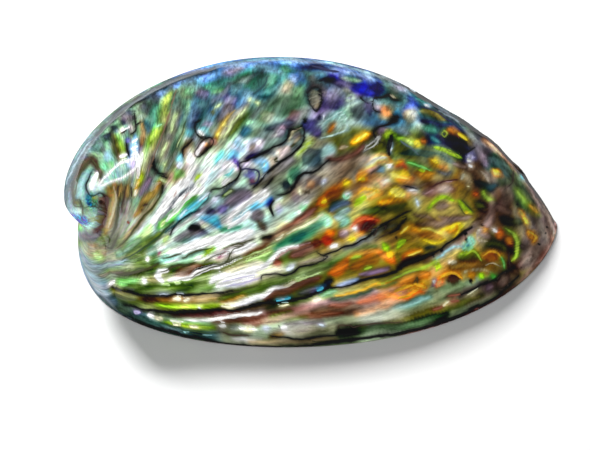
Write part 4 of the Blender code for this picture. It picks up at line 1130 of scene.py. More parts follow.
class Skin:
    """The outside or the inside as a square grid of points, its edges on the rim."""

    def __init__(self, growth, cells):
        self.cells = cells
        steps_across, steps_up = [np.linspace(-1.0, 1.0, count + 1) for count in cells]
        near_denser = steps_up - NEAR_SHARE * (1 - steps_up * steps_up)
        across, up = np.meshgrid(steps_across, near_denser, indexing="ij")
        self.out, self.around = disc_from_square(across, up)
        self.directions = dome_direction(np.minimum(self.out, JUST_ABOVE_RIM), self.around)
        found = growth.outermost(self.directions.reshape(-1, 3))
        shape = self.out.shape
        self.reach, self.turn, self.angle, self.up_wall = [values.reshape(shape) for values in found]
        self.even_out()
        self.places = placed(HEART) + self.directions * self.reach[..., None]
        self.places[self.out >= 1.0] = placed(mouth_outline(self.around[self.out >= 1.0]))

    def even_out(self):
        """Softens the surface low on the steep wall and at the apex, and nowhere else."""
        outside = placed(HEART) + self.directions * self.reach[..., None]
        low = eased((EVEN_BELOW - outside[..., 2] / UNIT) / EVEN_FADE) * wall_strength(self.around)
        near_apex = bell(np.linalg.norm(outside - placed(APEX), axis=-1), 0.0, APEX_ROUNDING)
        soft = blurred(self.reach, max(1, self.cells[0] // 60))
        self.reach = mixed(self.reach, soft, np.maximum(low, near_apex))

    def edge(self):
        """The numbers of the points along the rim, in the order of their angles."""
        last_across, last_up = self.cells
        side = last_up + 1
        bottom = [i * side for i in range(last_across)]
        right = [last_across * side + j for j in range(last_up)]
        top = [i * side + last_up for i in range(last_across, 0, -1)]
        left = [j for j in range(last_up, 0, -1)]
        return bottom + right + top + left

    def quads(self):
        side = self.cells[1] + 1
        i, j = np.meshgrid(*[np.arange(count) for count in self.cells], indexing="ij")
        here = i * side + j
        return np.stack([here, here + side, here + side + 1, here + 1], axis=-1).reshape(-1, 4)


def thickness(points, angles):
    """How thick the wall is: thicker along the keel side's shelf, which fades upwards."""
    shelf_side = bell(wrapped(angles - SHELF_MIDDLE), 0.0, SHELF_SPREAD)
    low = np.clip(points[..., 2] / SHELF_HEIGHT, 0.0, 2.0)
    return WALL + SHELF * shelf_side * np.sin(0.5 * math.pi * low) ** 2


def inner_places(skin):
    """The inside: the outside evened out, a wall's thickness deeper."""
    reach = blurred(skin.reach, 1)
    outside = placed(HEART) + skin.directions * reach[..., None]
    slant = np.clip(np.abs((facing(outside) * skin.directions).sum(axis=-1)), STEEPEST_SLANT, 1.0)
    depth = thickness(outside, skin.around) / slant
    return placed(HEART) + skin.directions * (reach - blurred(depth, 1))[..., None]


def rim_ring(angles, inward, height):
    """A ring that follows the mouth's rim, so far in from it and so far up."""
    rim = placed(mouth_outline(angles))
    step = 1e-3
    along = placed(mouth_outline(angles + step)) - placed(mouth_outline(angles - step))
    inward_way = np.stack([-along[:, 1], along[:, 0], np.zeros(len(angles))], axis=-1)
    inward_way /= np.linalg.norm(inward_way, axis=-1, keepdims=True)
    return rim + inward * inward_way + np.array((0.0, 0.0, height))


def photo_pixels(places):
    """Where places fall in the photograph's frame."""
    back = (EYE - AIM).normalized()
    right = Vector((0.0, 0.0, 1.0)).cross(back).normalized()
    up = back.cross(right)
    away = places - np.array(EYE)
    depth = -(away @ np.array(back))
    x = PHOTO_WIDTH / 2 + FOCAL_PIXELS * (away @ np.array(right)) / depth
    y = PHOTO_HEIGHT / 2 - FOCAL_PIXELS * (away @ np.array(up)) / depth
    return np.stack([x, y], axis=-1)


def gathered(skin, values):
    """A grid's values as a plain list of points."""
    return values.reshape(-1, *values.shape[2:])


def smoothed(path):
    """Close places along a smooth curve through a path's own places."""
    corners = np.array([[float(number) for number in place.split(",")] for place in path.split()])
    if len(corners) < 3:
        return corners
    first = 2 * corners[:1] - corners[1:2]
    last = 2 * corners[-1:] - corners[-2:-1]
    padded = np.concatenate([first, corners, last])
    step = np.linspace(0.0, 1.0, CURVE_STEPS, endpoint=False)[:, None]
    curve = []
    for before, start, end, after in zip(padded, padded[1:], padded[2:], padded[3:]):
        bend = (2 * before - 5 * start + 4 * end - after) * step ** 2
        twist = (3 * start - before - 3 * end + after) * step ** 3
        curve.append(start + 0.5 * ((end - before) * step + bend + twist))
    return np.concatenate(curve + [corners[-1:]])


def nearest(places, curve):
    """How far places lie from a curve, at what share of its length, and on which side."""
    gap = np.linalg.norm(places - curve[0], axis=1)
    side = np.ones(len(places))
    share = np.full(len(places), 0.5 if len(curve) == 1 else 0.0)
    edges = np.diff(curve, axis=0)
    lengths = np.linalg.norm(edges, axis=1)
    passed = np.concatenate([[0.0], np.cumsum(lengths)])
    for start, edge, length, so_far in zip(curve, edges, lengths, passed):
        away = places - start
        along = np.clip((away @ edge) / length ** 2, 0.0, 1.0)
        distance = np.linalg.norm(away - along[:, None] * edge, axis=1)
        closer = distance < gap
        gap[closer] = distance[closer]
        share[closer] = (so_far + along[closer] * length) / passed[-1]
        turned = edge[0] * away[closer, 1] - edge[1] * away[closer, 0]
        side[closer] = np.where(turned < 0, -1.0, 1.0)
    return gap, share, side


class Lines:
    """Thin lines on a skin, kept as each point's distance to the nearest line, its sign telling
    the line's sides apart, so that a line stays sharp between points that are further apart."""

    def __init__(self, count):
        self.offset = np.full(count, 9.0)
        self.half = np.full(count, -3.0)
        self.strength = np.zeros(count)
        self.colour = np.zeros((count, 3))

    def draw(self, points, offset, half, strength, colour):
        closer = np.abs(offset) - half < np.abs(self.offset[points]) - self.half[points]
        closer &= np.abs(offset) < half + LINE_REACH
        points = points[closer]
        self.offset[points] = offset[closer]
        self.half[points] = half[closer]
        self.strength[points] = strength
        self.colour[points] = colour

    def values(self):
        return np.stack([self.offset, self.half, self.strength], axis=-1)


class Canvas:
    """The colour and the low relief of a skin's points, painted stroke by stroke."""

    def __init__(self, skin, places, bands, wildness):
        normals = facing(places)
        self.skin = skin
        self.places = gathered(skin, places)
        self.normals = gathered(skin, normals)
        on_wall = (skin.up_wall > 0) & (skin.out < 1.0)
        self.age = gathered(skin, spread_over(shrinkage(skin.turn), on_wall))
        self.east = gathered(skin, spread_over(np.cos(skin.angle), on_wall))
        self.north = gathered(skin, spread_over(np.sin(skin.angle), on_wall))
        self.ink = Lines(len(self.places))
        self.gleam = Lines(len(self.places))
        self.streaks = eased(1.6 * self.along_growth(34.0, 6.0, 4) - 0.3)
        self.ripples = 0.6 * self.along_growth(26.0, 6.5, 51) + 0.4 * self.along_growth(52.0, 12.0, 52)
        self.ripples = eased(2.2 * self.ripples - 0.6)
        self.height = FOLD_HEIGHT * (self.along_growth(9.0, 3.0, 5) - 0.5)
        self.colour = self.grown_colour(bands)
        self.wild = np.full(len(self.places), wildness)

    def along_growth(self, across, along, seed):
        """Noise in streaks that follow the growth lines."""
        return noise(self.grown(across, along) + 100.0, seed)

    def grown(self, across, along):
        """The points laid out by when they grew and where around the mouth."""
        return np.stack([self.age * across, self.east * along, self.north * along], axis=-1)

    def grown_colour(self, bands):
        """Bands of nacre that follow the growth lines."""
        phase = 1.1 * self.age + 1.4 * self.along_growth(3.0, 1.6, 1) + 0.5 * self.along_growth(16.0, 3.0, 2)
        phase = (phase * BAND_TURNS) % len(bands)
        bands = np.array(bands) / 255.0
        low = np.floor(phase).astype(int)
        share = eased(phase - low)[:, None]
        colour = mixed(bands[low % len(bands)], bands[(low + 1) % len(bands)], share)
        light = 0.75 + 0.5 * self.along_growth(30.0, 4.0, 3)
        return np.clip(colour * light[:, None], 0.0, 1.0)

    def face_camera(self, growth):
        """Where each point falls in the photograph, and whether the photograph shows it."""
        view = np.array(EYE) - self.places
        view /= np.linalg.norm(view, axis=1, keepdims=True)
        turned = (self.normals * view).sum(axis=1)
        on_wall = gathered(self.skin, self.skin.up_wall) > 0
        reach = np.where(on_wall, 0.0, SEEN_FROM + SEEN_RAGGED * self.along_growth(7.0, 5.0, 35))
        lifted = self.places + CLEAR_BY * self.normals
        shape = self.skin.out.shape
        hidden = blurred(growth.hidden(lifted, view).reshape(shape), 2).reshape(-1) * (turned > 0)
        open_to_view = 1 - eased(1.5 * hidden - 0.2)
        self.seen = eased((turned + reach) / SEEN_OVER) * open_to_view
        # Painted reflection: a pale blue sheen along the top edge, where the surface turns side-on to the camera
        crest = HORIZON_SHARE * bell(turned, 0.0, HORIZON_SPREAD) * eased(self.places[:, 2] / HORIZON_ABOVE)
        self.colour = mixed(self.colour, np.array(EDGE_SHEEN) / 255.0, crest[:, None])
        self.wild = 1 - eased((turned - WILD_FROM) / WILD_OVER) * open_to_view
        pixels = photo_pixels(self.places)
        flat = np.concatenate([pixels, 0 * pixels[:, :1]], axis=1)
        self.pixels = pixels
        for size, reach, seed in WAVERS:
            waver = [noise(flat / size + 50.0, seed + axis) - 0.5 for axis in (0, 1)]
            self.pixels = self.pixels + reach * np.stack(waver, axis=-1)
        way, steepness = self.growth_way(pixels)
        calm = eased((CALM_ABOVE - steepness) / CALM_OVER)
        rightwards = eased((pixels[:, 0] - RIPPLES_GROW_FROM) / RIPPLES_GROW_OVER)
        downwards = eased((pixels[:, 1] - RIPPLES_GROW_BELOW) / RIPPLES_GROW_DOWN)
        self.calm = calm * mixed(WEAKEST_RIPPLES, 1.0, np.maximum(rightwards, downwards))
        self.streaks = 0.5 + calm * (self.streaks - 0.5)
        comb = COMB * calm * (self.along_growth(22.0, 5.0, 11) - 0.5)
        self.combed = self.pixels + comb[:, None] * way
        self.uneven = 0.6 + 0.7 * noise(flat / UNEVEN_SIZE + 50.0, 21)

    def growth_way(self, pixels):
        """Which way the growth lines run in the photograph, and how fast age changes across."""
        shape = self.skin.out.shape
        grid = pixels.reshape(*shape, 2)
        age_across, age_up = np.gradient(self.age.reshape(shape))
        across, up = np.gradient(grid, axis=(0, 1))
        way = across * age_up[..., None] - up * age_across[..., None]
        length = np.linalg.norm(way, axis=-1)
        area = np.abs(across[..., 0] * up[..., 1] - across[..., 1] * up[..., 0])
        steepness = length / np.maximum(area, 1e-3)
        return (way / np.maximum(length, 1e-9)[..., None]).reshape(-1, 2), steepness.reshape(-1)

    def paint(self, strokes, fullness, richness):
        for _, brush, colour, width, *paths in strokes:
            fuller = brush._replace(strength=brush.strength * fullness)
            seen = np.array(colour) / 255.0
            seen = mixed(seen @ LUMINANCE, seen, richness)
            for path in paths:
                self.stroke(fuller, seen, width, smoothed(path))

    def stroke(self, brush, colour, width, curve):
        half = 0.5 * width
        margin = half + max(half, SHARPEST) + GLOW_WIDTH
        low = curve.min(axis=0) - margin
        high = curve.max(axis=0) + margin
        pixels = self.combed if brush.ragged >= COMBED_FROM and width > THINNEST_COMBED else self.pixels
        inside = (pixels > low).all(axis=1) & (pixels < high).all(axis=1) & (self.seen > 0)
        near = np.nonzero(inside)[0]
        gap, share, side = nearest(pixels[near], curve)
        gap = gap + brush.ragged * min(1.0, RAGGED_SHARE * half) * (0.5 - self.streaks[near])
        narrowed = half * (1 - brush.taper + brush.taper * np.sqrt(np.sin(math.pi * share)))
        blur = max(SHARPEST, brush.softness * half)
        thin = width < WIDEST_LINE
        glint = brush.lift > BAND.lift
        if len(curve) > 1 and (glint or (thin and brush.lift < 0)):
            core = half if thin else WIDE_CORE * half
            self.line(brush, colour, near, gap * side * np.sign(curve[-1, 0] - curve[0, 0] + 0.1), share, core)
            blur = max(UNDER_LINE, blur)
        cover = 1 - eased((gap - narrowed + 0.5 * blur) / blur)
        broken = 1 - brush.grain + 2 * brush.grain * self.streaks[near]
        cover = np.clip(brush.strength * cover * broken, 0.0, 1.0) * self.seen[near]
        glow = brush.glow * self.seen[near] * (1 - eased((gap - narrowed) / GLOW_WIDTH))
        around = mixed(self.colour[near], colour ** GLOW_DEPTH, glow[:, None])
        towards_edge = np.clip(gap / np.maximum(narrowed, 0.5), 0.0, 1.2) ** 2
        deepened = colour ** (1 + brush.depth * towards_edge)[:, None]
        self.colour[near] = mixed(around, deepened, cover[:, None])
        self.height[near] += brush.lift * cover

    def line(self, brush, colour, points, offset, share, half):
        """A thin stroke's sharp core: dark ones as ink, bright ones as gleams."""
        narrowed = half * (1 - brush.taper + brush.taper * np.sqrt(np.sin(math.pi * share)))
        narrowed = np.where((share > 0) & (share < 1), narrowed * self.uneven[points], -0.3)
        if brush.lift < 0:
            self.ink.draw(points, offset, INK_WIDTH * narrowed, INK_STRENGTH, colour)
        else:
            self.gleam.draw(points, offset, narrowed, GLEAM_STRENGTH * brush.strength, colour)

    def ring_holes(self, growth):
        """A low swelling round each breathing hole, and one for each that the shell has sealed."""
        for turn, radius in zip(HOLE_TURNS + SEALED_TURNS, HOLE_RADII + SEALED_RADII):
            gap = np.linalg.norm(self.places - np.array(growth.hole(turn)[0]), axis=1)
            near = gap < 3 * radius
            self.height[near] += HOLE_RING * bell(gap[near], radius + RING_AWAY, RING_WIDTH)
            shade = bell(gap[near], radius, RING_WIDTH)[:, None]
            self.colour[near] = mixed(self.colour[near], np.array(HOLE_EDGE) / 255.0, 0.6 * shade)

    def finish(self):
        """Fine growth streaks over all of it, painted shade and light along the ripples, crisper edges where tones
        meet, and the paint evened against the studio lights as painted light and shade: darker where they fall
        strongly, lighter where they fall weakly.
        """
        light = 1 + STREAK_LIGHT * (self.streaks - 0.5)
        # Painted shade and light that follow the ripples: darker in their hollows and lighter on their crests, which
        # the next line raises
        deepened = np.clip(self.colour, 0.0, 1.0) ** (1 + RIPPLE_PAINTED_SHADE * self.calm * (RIPPLE_MIDDLE - self.ripples))[:, None]
        self.height = self.height + RIPPLE_HEIGHT * self.calm * (self.ripples - 0.5)
        hues = [1 + STREAK_HUE * (self.along_growth(40.0, 5.0, seed) - 0.5) for seed in (8, 9, 10)]
        colour = deepened * light[:, None] * np.stack(hues, axis=-1)
        grid = colour.reshape(*self.skin.places.shape)
        around = np.stack([blurred(grid[..., n], CRISP_RADIUS) for n in range(3)], axis=-1)
        crisp = np.clip(grid + CRISPNESS * (grid - around), 0.0, 1.0).reshape(-1, 3)
        muted = mixed(crisp, (crisp @ LUMINANCE)[:, None], MUTED)
        # The haze that the gloss adds is taken out of the paint, which makes it darker
        wanted = np.maximum(GAIN * linear(muted) - HAZE, 0.1 * linear(muted))
        # Painted light and shade: the paint is divided by how brightly the studio lights fall on it, darker where they
        # fall strongly and lighter where they fall weakly
        self.paint_colour = np.minimum(wanted / (light_on(self.normals) ** PAINTED_LIGHT_EVENING)[:, None], BRIGHTEST)
        self.height = blurred(self.height.reshape(grid.shape[:2]), 1).reshape(-1)

    def raised(self):
        """The places with the low relief on them, which fades out towards the rim."""
        fade = eased(self.places[:, 2] / RELIEF_FADE)
        places = self.places + self.normals * (self.height * fade)[:, None]
        return places.reshape(self.skin.places.shape)


def linear(colour):
    """Display values as the linear values that shaders take."""
    return np.where(colour <= 0.04045, colour / 12.92, ((colour + 0.055) / 1.055) ** 2.4)


def build_shell(outer, outer_places, inner, inner_places_, outer_colour, inner_colour):
    """One closed mesh: the outside, the inside, and the rounded rim between them."""
    edge_angles = outer.around.reshape(-1)[outer.edge()]
    inner_angles = inner.around.reshape(-1)[inner.edge()]
    outer_points = outer_places.reshape(-1, 3).copy()
    outer_points[outer.edge()] = rim_ring(edge_angles, 0.0, EDGE_ROUND)
    inner_points = inner_places_.reshape(-1, 3).copy()
    inner_points[inner.edge()] = rim_ring(inner_angles, LIP, EDGE_ROUND)
    rings = [
        rim_ring(edge_angles, 0.3 * EDGE_ROUND, 0.3 * EDGE_ROUND),
        rim_ring(edge_angles, EDGE_ROUND, 0.0),
        rim_ring(inner_angles, LIP - EDGE_ROUND, 0.0),
        rim_ring(inner_angles, LIP - 0.3 * EDGE_ROUND, 0.3 * EDGE_ROUND),
    ]
    points = np.concatenate([outer_points, inner_points] + rings)
    start_inner = len(outer_points)
    starts = start_inner + len(inner_points) + np.cumsum([0] + [len(ring) for ring in rings])
    loops = [np.array(outer.edge())]
    loops += [starts[n] + np.arange(len(ring)) for n, ring in enumerate(rings)]
    loops += [start_inner + np.array(inner.edge())]
    faces = outer.quads().tolist()
    faces += (start_inner + inner.quads()[:, ::-1]).tolist()
    for outer_loop, inner_loop in zip(loops[:-1], loops[1:]):
        faces += bridged(outer_loop, inner_loop)
    mesh = bpy.data.meshes.new("abalone_shell_skin")
    mesh.from_pydata(points.tolist(), [], faces)
    rim_colour = np.tile(linear(np.array(RIM_EDGE) / 255.0), (sum(len(ring) for ring in rings), 1))
    colours = np.concatenate([outer_colour, inner_colour, rim_colour])
    return mesh, colours


def bridged(outer_loop, inner_loop):
    """The faces between two rings; the inner one may have a third of the outer one's points."""
    after_outer = np.roll(outer_loop, -1)
    after_inner = np.roll(inner_loop, -1)
    if len(outer_loop) == len(inner_loop):
        return np.stack([outer_loop, inner_loop, after_inner, after_outer], axis=-1).tolist()
    first, second, third = outer_loop[0::3], outer_loop[1::3], outer_loop[2::3]
    faces = np.stack([first, inner_loop, second], axis=-1).tolist()
    faces += np.stack([second, inner_loop, after_inner, third], axis=-1).tolist()
    faces += np.stack([third, after_inner, np.roll(first, -1)], axis=-1).tolist()
    return faces


def hole_cutters(growth):
    """One rod for each breathing hole, square to the surface and a little wider outwards."""
    body = bmesh.new()
    for turn, radius in zip(HOLE_TURNS, HOLE_RADII):
        middle, upright = growth.hole(turn)
        bmesh.ops.create_cone(
            body,
            cap_ends=True,
            segments=HOLE_SIDES,
            radius1=radius * (1 - HOLE_FLARE),
            radius2=radius * (1 + HOLE_FLARE),
            depth=HOLE_DEPTH,
            matrix=Matrix.Translation(middle) @ upright.to_track_quat("Z", "Y").to_matrix().to_4x4(),
        )
    mesh = bpy.data.meshes.new("hole_cutters")
    body.to_mesh(mesh)
    return bpy.data.objects.new("hole_cutters", mesh)


def pierced(mesh, cutters):
    """The shell with the holes cut through it, and the number of the old point nearest each."""
    whole = bpy.data.objects.new("whole_shell", mesh)
    for thing in (whole, cutters):
        bpy.context.collection.objects.link(thing)
    cut = whole.modifiers.new("breathing_holes", "BOOLEAN")
    cut.operation = "DIFFERENCE"
    cut.solver = "EXACT"
    cut.object = cutters
    result = bpy.data.meshes.new_from_object(whole.evaluated_get(bpy.context.evaluated_depsgraph_get()))
    before = KDTree(len(mesh.vertices))
    for number, vertex in enumerate(mesh.vertices):
        before.insert(vertex.co, number)
    before.balance()
    origin = np.array([before.find(vertex.co)[1] for vertex in result.vertices])
    for thing in (whole, cutters):
        bpy.data.objects.remove(thing)
    return result, origin


def inside_holes(mesh, growth):
    """Which points lie on the sides of the breathing holes."""
    places = np.array([vertex.co for vertex in mesh.vertices])
    found = np.zeros(len(places), dtype=bool)
    for turn, radius in zip(HOLE_TURNS, HOLE_RADII):
        middle, upright = growth.hole(turn)
        away = places - np.array(middle)
        along = away @ np.array(upright)
        off_axis = np.linalg.norm(away - along[:, None] * np.array(upright), axis=1)
        reach = radius * (1 + 2 * HOLE_FLARE * along / HOLE_DEPTH)
        found |= (np.abs(along) < HOLE_DEPTH / 2) & (off_axis < 1.01 * reach)
    return found


def store(mesh, name, kind, values):
    attribute = mesh.attributes.new(name, kind, "POINT")
    field = {"FLOAT": "value", "FLOAT_VECTOR": "vector", "FLOAT_COLOR": "color"}[kind]
    attribute.data.foreach_set(field, values.astype(np.float32).ravel())


class Nodes:
    """A short way to add and join a material's nodes."""

    def __init__(self, material):
        material.use_nodes = True
        self.tree = material.node_tree
        self.shader = self.tree.nodes["Principled BSDF"]

    def add(self, kind, settings=(), **inputs):
        node = self.tree.nodes.new(kind)
        for name, value in dict(settings).items():
            setattr(node, name, value)
        for name, value in inputs.items():
            self.feed(node.inputs[name.replace("_", " ")], value)
        return node

    def ranged(self, value, low, high, start, end):
        """A value's range from low to high made one from start to end, smoothly."""
        node = self.add("ShaderNodeMapRange", {"interpolation_type": "SMOOTHSTEP"}, Value=value)
        for name, bound in zip(("From Min", "From Max", "To Min", "To Max"), (low, high, start, end)):
            self.feed(node.inputs[name], bound)
        return node.outputs["Result"]

    def product(self, one, other):
        node = self.add("ShaderNodeMath", {"operation": "MULTIPLY"})
        self.feed(node.inputs[0], one)
        self.feed(node.inputs[1], other)
        return node.outputs["Value"]

    def feed(self, socket, value):
        if isinstance(value, bpy.types.NodeSocket):
            self.tree.links.new(value, socket)
        else:
            socket.default_value = value


def line_cover(nodes, name, edge_width):
    """How fully a skin's thin lines of one kind cover it."""
    line = nodes.add("ShaderNodeAttribute", {"attribute_name": name}).outputs["Vector"]
    parts = nodes.add("ShaderNodeSeparateXYZ", Vector=line)
    offset = nodes.add("ShaderNodeMath", {"operation": "ABSOLUTE"}, Value=parts.outputs["X"])
    beyond = nodes.add("ShaderNodeMath", {"operation": "SUBTRACT"})
    nodes.feed(beyond.inputs[0], offset.outputs["Value"])
    nodes.feed(beyond.inputs[1], parts.outputs["Y"])
    edge = nodes.add("ShaderNodeMapRange", {"interpolation_type": "SMOOTHSTEP"}, Value=beyond.outputs["Value"])
    nodes.feed(edge.inputs["From Min"], -edge_width)
    nodes.feed(edge.inputs["From Max"], edge_width)
    nodes.feed(edge.inputs["To Min"], 1.0)
    nodes.feed(edge.inputs["To Max"], 0.0)
    cover = nodes.add("ShaderNodeMath", {"operation": "MULTIPLY"})
    nodes.feed(cover.inputs[0], edge.outputs["Result"])
    nodes.feed(cover.inputs[1], parts.outputs["Z"])
    return cover.outputs["Value"]


def mixed_colours(nodes, share, low, high):
    mix = nodes.add("ShaderNodeMix", {"data_type": "RGBA"})
    nodes.feed(mix.inputs["Factor"], share)
    nodes.feed(mix.inputs[6], low)
    nodes.feed(mix.inputs[7], high)
    return mix.outputs[2]


def patchwork(nodes, paint, grain):
    """Patches of nacre that differ in hue, with dark seams between some of them."""
    wild = nodes.add("ShaderNodeAttribute", {"attribute_name": "wild"}).outputs["Fac"]
    spread = nodes.add("ShaderNodeVectorMath", {"operation": "MULTIPLY"})
    nodes.feed(spread.inputs[0], grain)
    nodes.feed(spread.inputs[1], PATCH_STRETCH)
    waver = nodes.add("ShaderNodeTexNoise", Vector=spread.outputs["Vector"], Scale=1.4, Detail=3.0)
    place = nodes.add("ShaderNodeVectorMath", {"operation": "MULTIPLY_ADD"})
    nodes.feed(place.inputs[0], waver.outputs["Color"])
    nodes.feed(place.inputs[1], PATCH_WAVER)
    nodes.feed(place.inputs[2], spread.outputs["Vector"])
    cells = nodes.add("ShaderNodeTexVoronoi", Vector=place.outputs["Vector"], Scale=1.0)
    edges = nodes.add(
        "ShaderNodeTexVoronoi", {"feature": "DISTANCE_TO_EDGE"}, Vector=place.outputs["Vector"], Scale=1.0
    )
    chance = nodes.add("ShaderNodeSeparateXYZ", Vector=cells.outputs["Color"])
    hue = nodes.ranged(chance.outputs["X"], 0.0, 1.0, 0.5 - PATCH_HUES, 0.5 + PATCH_HUES)
    value = nodes.ranged(chance.outputs["Y"], 0.0, 1.0, 1 - PATCH_LIGHTS, 1 + PATCH_LIGHTS)
    heart = nodes.ranged(cells.outputs["Distance"], 0.0, 0.7, 1.25, 0.8)
    level = nodes.product(value, heart)
    patch = nodes.add("ShaderNodeHueSaturation", Hue=hue, Saturation=PATCH_RICHNESS, Value=level, Color=paint)
    presence = nodes.add("ShaderNodeTexNoise", Vector=spread.outputs["Vector"], Scale=0.5, Detail=1.0)
    present = nodes.ranged(presence.outputs["Fac"], 0.42, 0.6, 0.0, 1.0)
    near_edge = nodes.ranged(edges.outputs["Distance"], 0.0, SEAM_WIDTH, SEAM_DARKNESS, 0.0)
    seamed = mixed_colours(nodes, nodes.product(near_edge, present), patch.outputs["Color"], SEAM)
    return mixed_colours(nodes, wild, paint, seamed)


def nacre_material():
    """Polished nacre: the painted colours, fine growth streaks and a clear gloss over them."""
    material = bpy.data.materials.new("polished_nacre")
    nodes = Nodes(material)
    paint = nodes.add("ShaderNodeAttribute", {"attribute_name": "paint"}).outputs["Color"]
    grain = nodes.add("ShaderNodeAttribute", {"attribute_name": "grain"}).outputs["Vector"]
    patched = patchwork(nodes, paint, grain)
    streaks = nodes.add("ShaderNodeTexNoise", Vector=grain, Scale=1.0, Detail=4.0, Roughness=0.65)
    value = nodes.add("ShaderNodeMapRange")
    nodes.feed(value.inputs["Value"], streaks.outputs["Fac"])
    nodes.feed(value.inputs["From Min"], 0.38)
    nodes.feed(value.inputs["From Max"], 0.62)
    nodes.feed(value.inputs["To Min"], 0.54)
    nodes.feed(value.inputs["To Max"], 1.38)
    gleam_colour = nodes.add("ShaderNodeAttribute", {"attribute_name": "gleam_colour"}).outputs["Color"]
    ink_colour = nodes.add("ShaderNodeAttribute", {"attribute_name": "ink_colour"}).outputs["Color"]
    gleaming = mixed_colours(nodes, line_cover(nodes, "gleam", GLEAM_EDGE), patched, gleam_colour)
    shade = nodes.add("ShaderNodeHueSaturation", Color=gleaming)
    nodes.feed(shade.inputs["Value"], value.outputs["Result"])
    inked = mixed_colours(nodes, line_cover(nodes, "ink", INK_EDGE), shade.outputs["Color"], ink_colour)
    nodes.feed(nodes.shader.inputs["Base Color"], inked)
    grazing = nodes.add("ShaderNodeLayerWeight", Blend=0.5)
    gloss = nodes.add("ShaderNodeMapRange", Value=grazing.outputs["Facing"])
    nodes.feed(gloss.inputs["From Min"], 0.45)
    nodes.feed(gloss.inputs["From Max"], 0.95)
    nodes.feed(gloss.inputs["To Min"], 0.9)
    nodes.feed(gloss.inputs["To Max"], 0.0)
    nodes.feed(nodes.shader.inputs["Roughness"], 0.35)
    nodes.feed(nodes.shader.inputs["Specular IOR Level"], 0.0)
    nodes.feed(nodes.shader.inputs["Coat Weight"], gloss.outputs["Result"])
    nodes.feed(nodes.shader.inputs["Coat IOR"], 1.45)
    nodes.feed(nodes.shader.inputs["Coat Roughness"], 0.06)
    return material


def make_stage():
    """A plain white floor, wide enough to fill every view."""
    half = 3.0
    corners = [(-half, -half, 0.0), (half, -half, 0.0), (half, half, 0.0), (-half, half, 0.0)]
    mesh = bpy.data.meshes.new("floor")
    mesh.from_pydata(corners, [], [(0, 1, 2, 3)])
    floor = bpy.data.objects.new("floor", mesh)
    bpy.context.collection.objects.link(floor)
    material = bpy.data.materials.new("white_floor")
    nodes = Nodes(material)
    nodes.feed(nodes.shader.inputs["Base Color"], (FLOOR_WHITE, FLOOR_WHITE, FLOOR_WHITE, 1.0))
    nodes.feed(nodes.shader.inputs["Roughness"], 0.9)
    nodes.feed(nodes.shader.inputs["Specular IOR Level"], 0.0)
    mesh.materials.append(material)


def light_on(normals):
    """How brightly the studio lights a white surface that faces this way, 1 being white."""
    total = np.pi * WORLD_LIGHT * (1 + normals[:, 2]) / 2 + np.pi * FLOOR_LIGHT * (1 - normals[:, 2]) / 2
    for _, place, size, power, _ in LIGHTS:
        distance = math.hypot(*place)
        slant = normals @ np.array(place) / distance
        spread = 0.5 * max(size) / distance
        total = total + power * np.maximum(slant + spread, 0.0) ** 2 / (np.maximum(slant, 0.0) + spread) / (
            np.pi * distance ** 2
        )
    return total / np.pi


def softbox(name, place, size, power, mirrored):
    """A soft rectangular light that faces the shell, and may show as a reflection in it."""
    light = bpy.data.lights.new(name, "AREA")
    light.shape = "RECTANGLE"
    light.size, light.size_y = size
    light.energy = power
    lamp = bpy.data.objects.new(name, light)
    lamp.location = place
    lamp.visible_glossy = mirrored
    lamp.rotation_euler = (Vector(place) - Vector((0.0, 0.0, 0.02))).to_track_quat("Z", "Y").to_euler()
    bpy.context.collection.objects.link(lamp)


def make_lights():
    world = bpy.data.worlds.new("studio")
    bpy.context.scene.world = world
    world.use_nodes = True
    background = world.node_tree.nodes["Background"]
    background.inputs["Color"].default_value = (0.95, 0.98, 1.0, 1.0)
    background.inputs["Strength"].default_value = WORLD_LIGHT
    for light in LIGHTS:
        softbox(*light)


def make_camera():
    camera = bpy.data.cameras.new("camera")
    camera.sensor_width = SENSOR
    camera.lens = SENSOR * FOCAL_PIXELS / PHOTO_WIDTH
    camera.clip_start = 0.01
    holder = bpy.data.objects.new("camera", camera)
    back = (EYE - AIM).normalized()
    right = Vector((0.0, 0.0, 1.0)).cross(back).normalized()
    turned = Matrix((right, back.cross(right), back)).transposed().to_4x4()
    turned.translation = EYE
    holder.matrix_world = turned
    bpy.context.collection.objects.link(holder)
    bpy.context.scene.camera = holder


NACRE_BANDS = (
    (78, 128, 122), (100, 148, 108), (140, 158, 104), (160, 140, 92),
    (146, 116, 108), (112, 104, 136), (78, 100, 152), (80, 136, 152),
)
INNER_BANDS = (
    (104, 184, 184), (118, 198, 150), (168, 206, 140), (216, 182, 150),
    (200, 150, 176), (148, 140, 208), (104, 156, 224), (92, 192, 210),
)
RIM_EDGE = (70, 48, 40)
SPREAD_RADII = (12, 6, 3, 1)
SPREAD_ROUNDS = 8
FLOOR_WHITE = 0.80
WORLD_LIGHT = 0.20
FLOOR_LIGHT = 0.38
LIGHTS = (
    ("front_fill", (-0.30, -1.00, 0.18), (0.80, 0.30), 9.4, False),
    ("back_light", (-0.365, 0.75, 0.62), (0.19, 0.16), 20.0, False),
    ("window", (-0.22, -0.28, 0.80), (0.22, 0.17), 0.65, True),
)
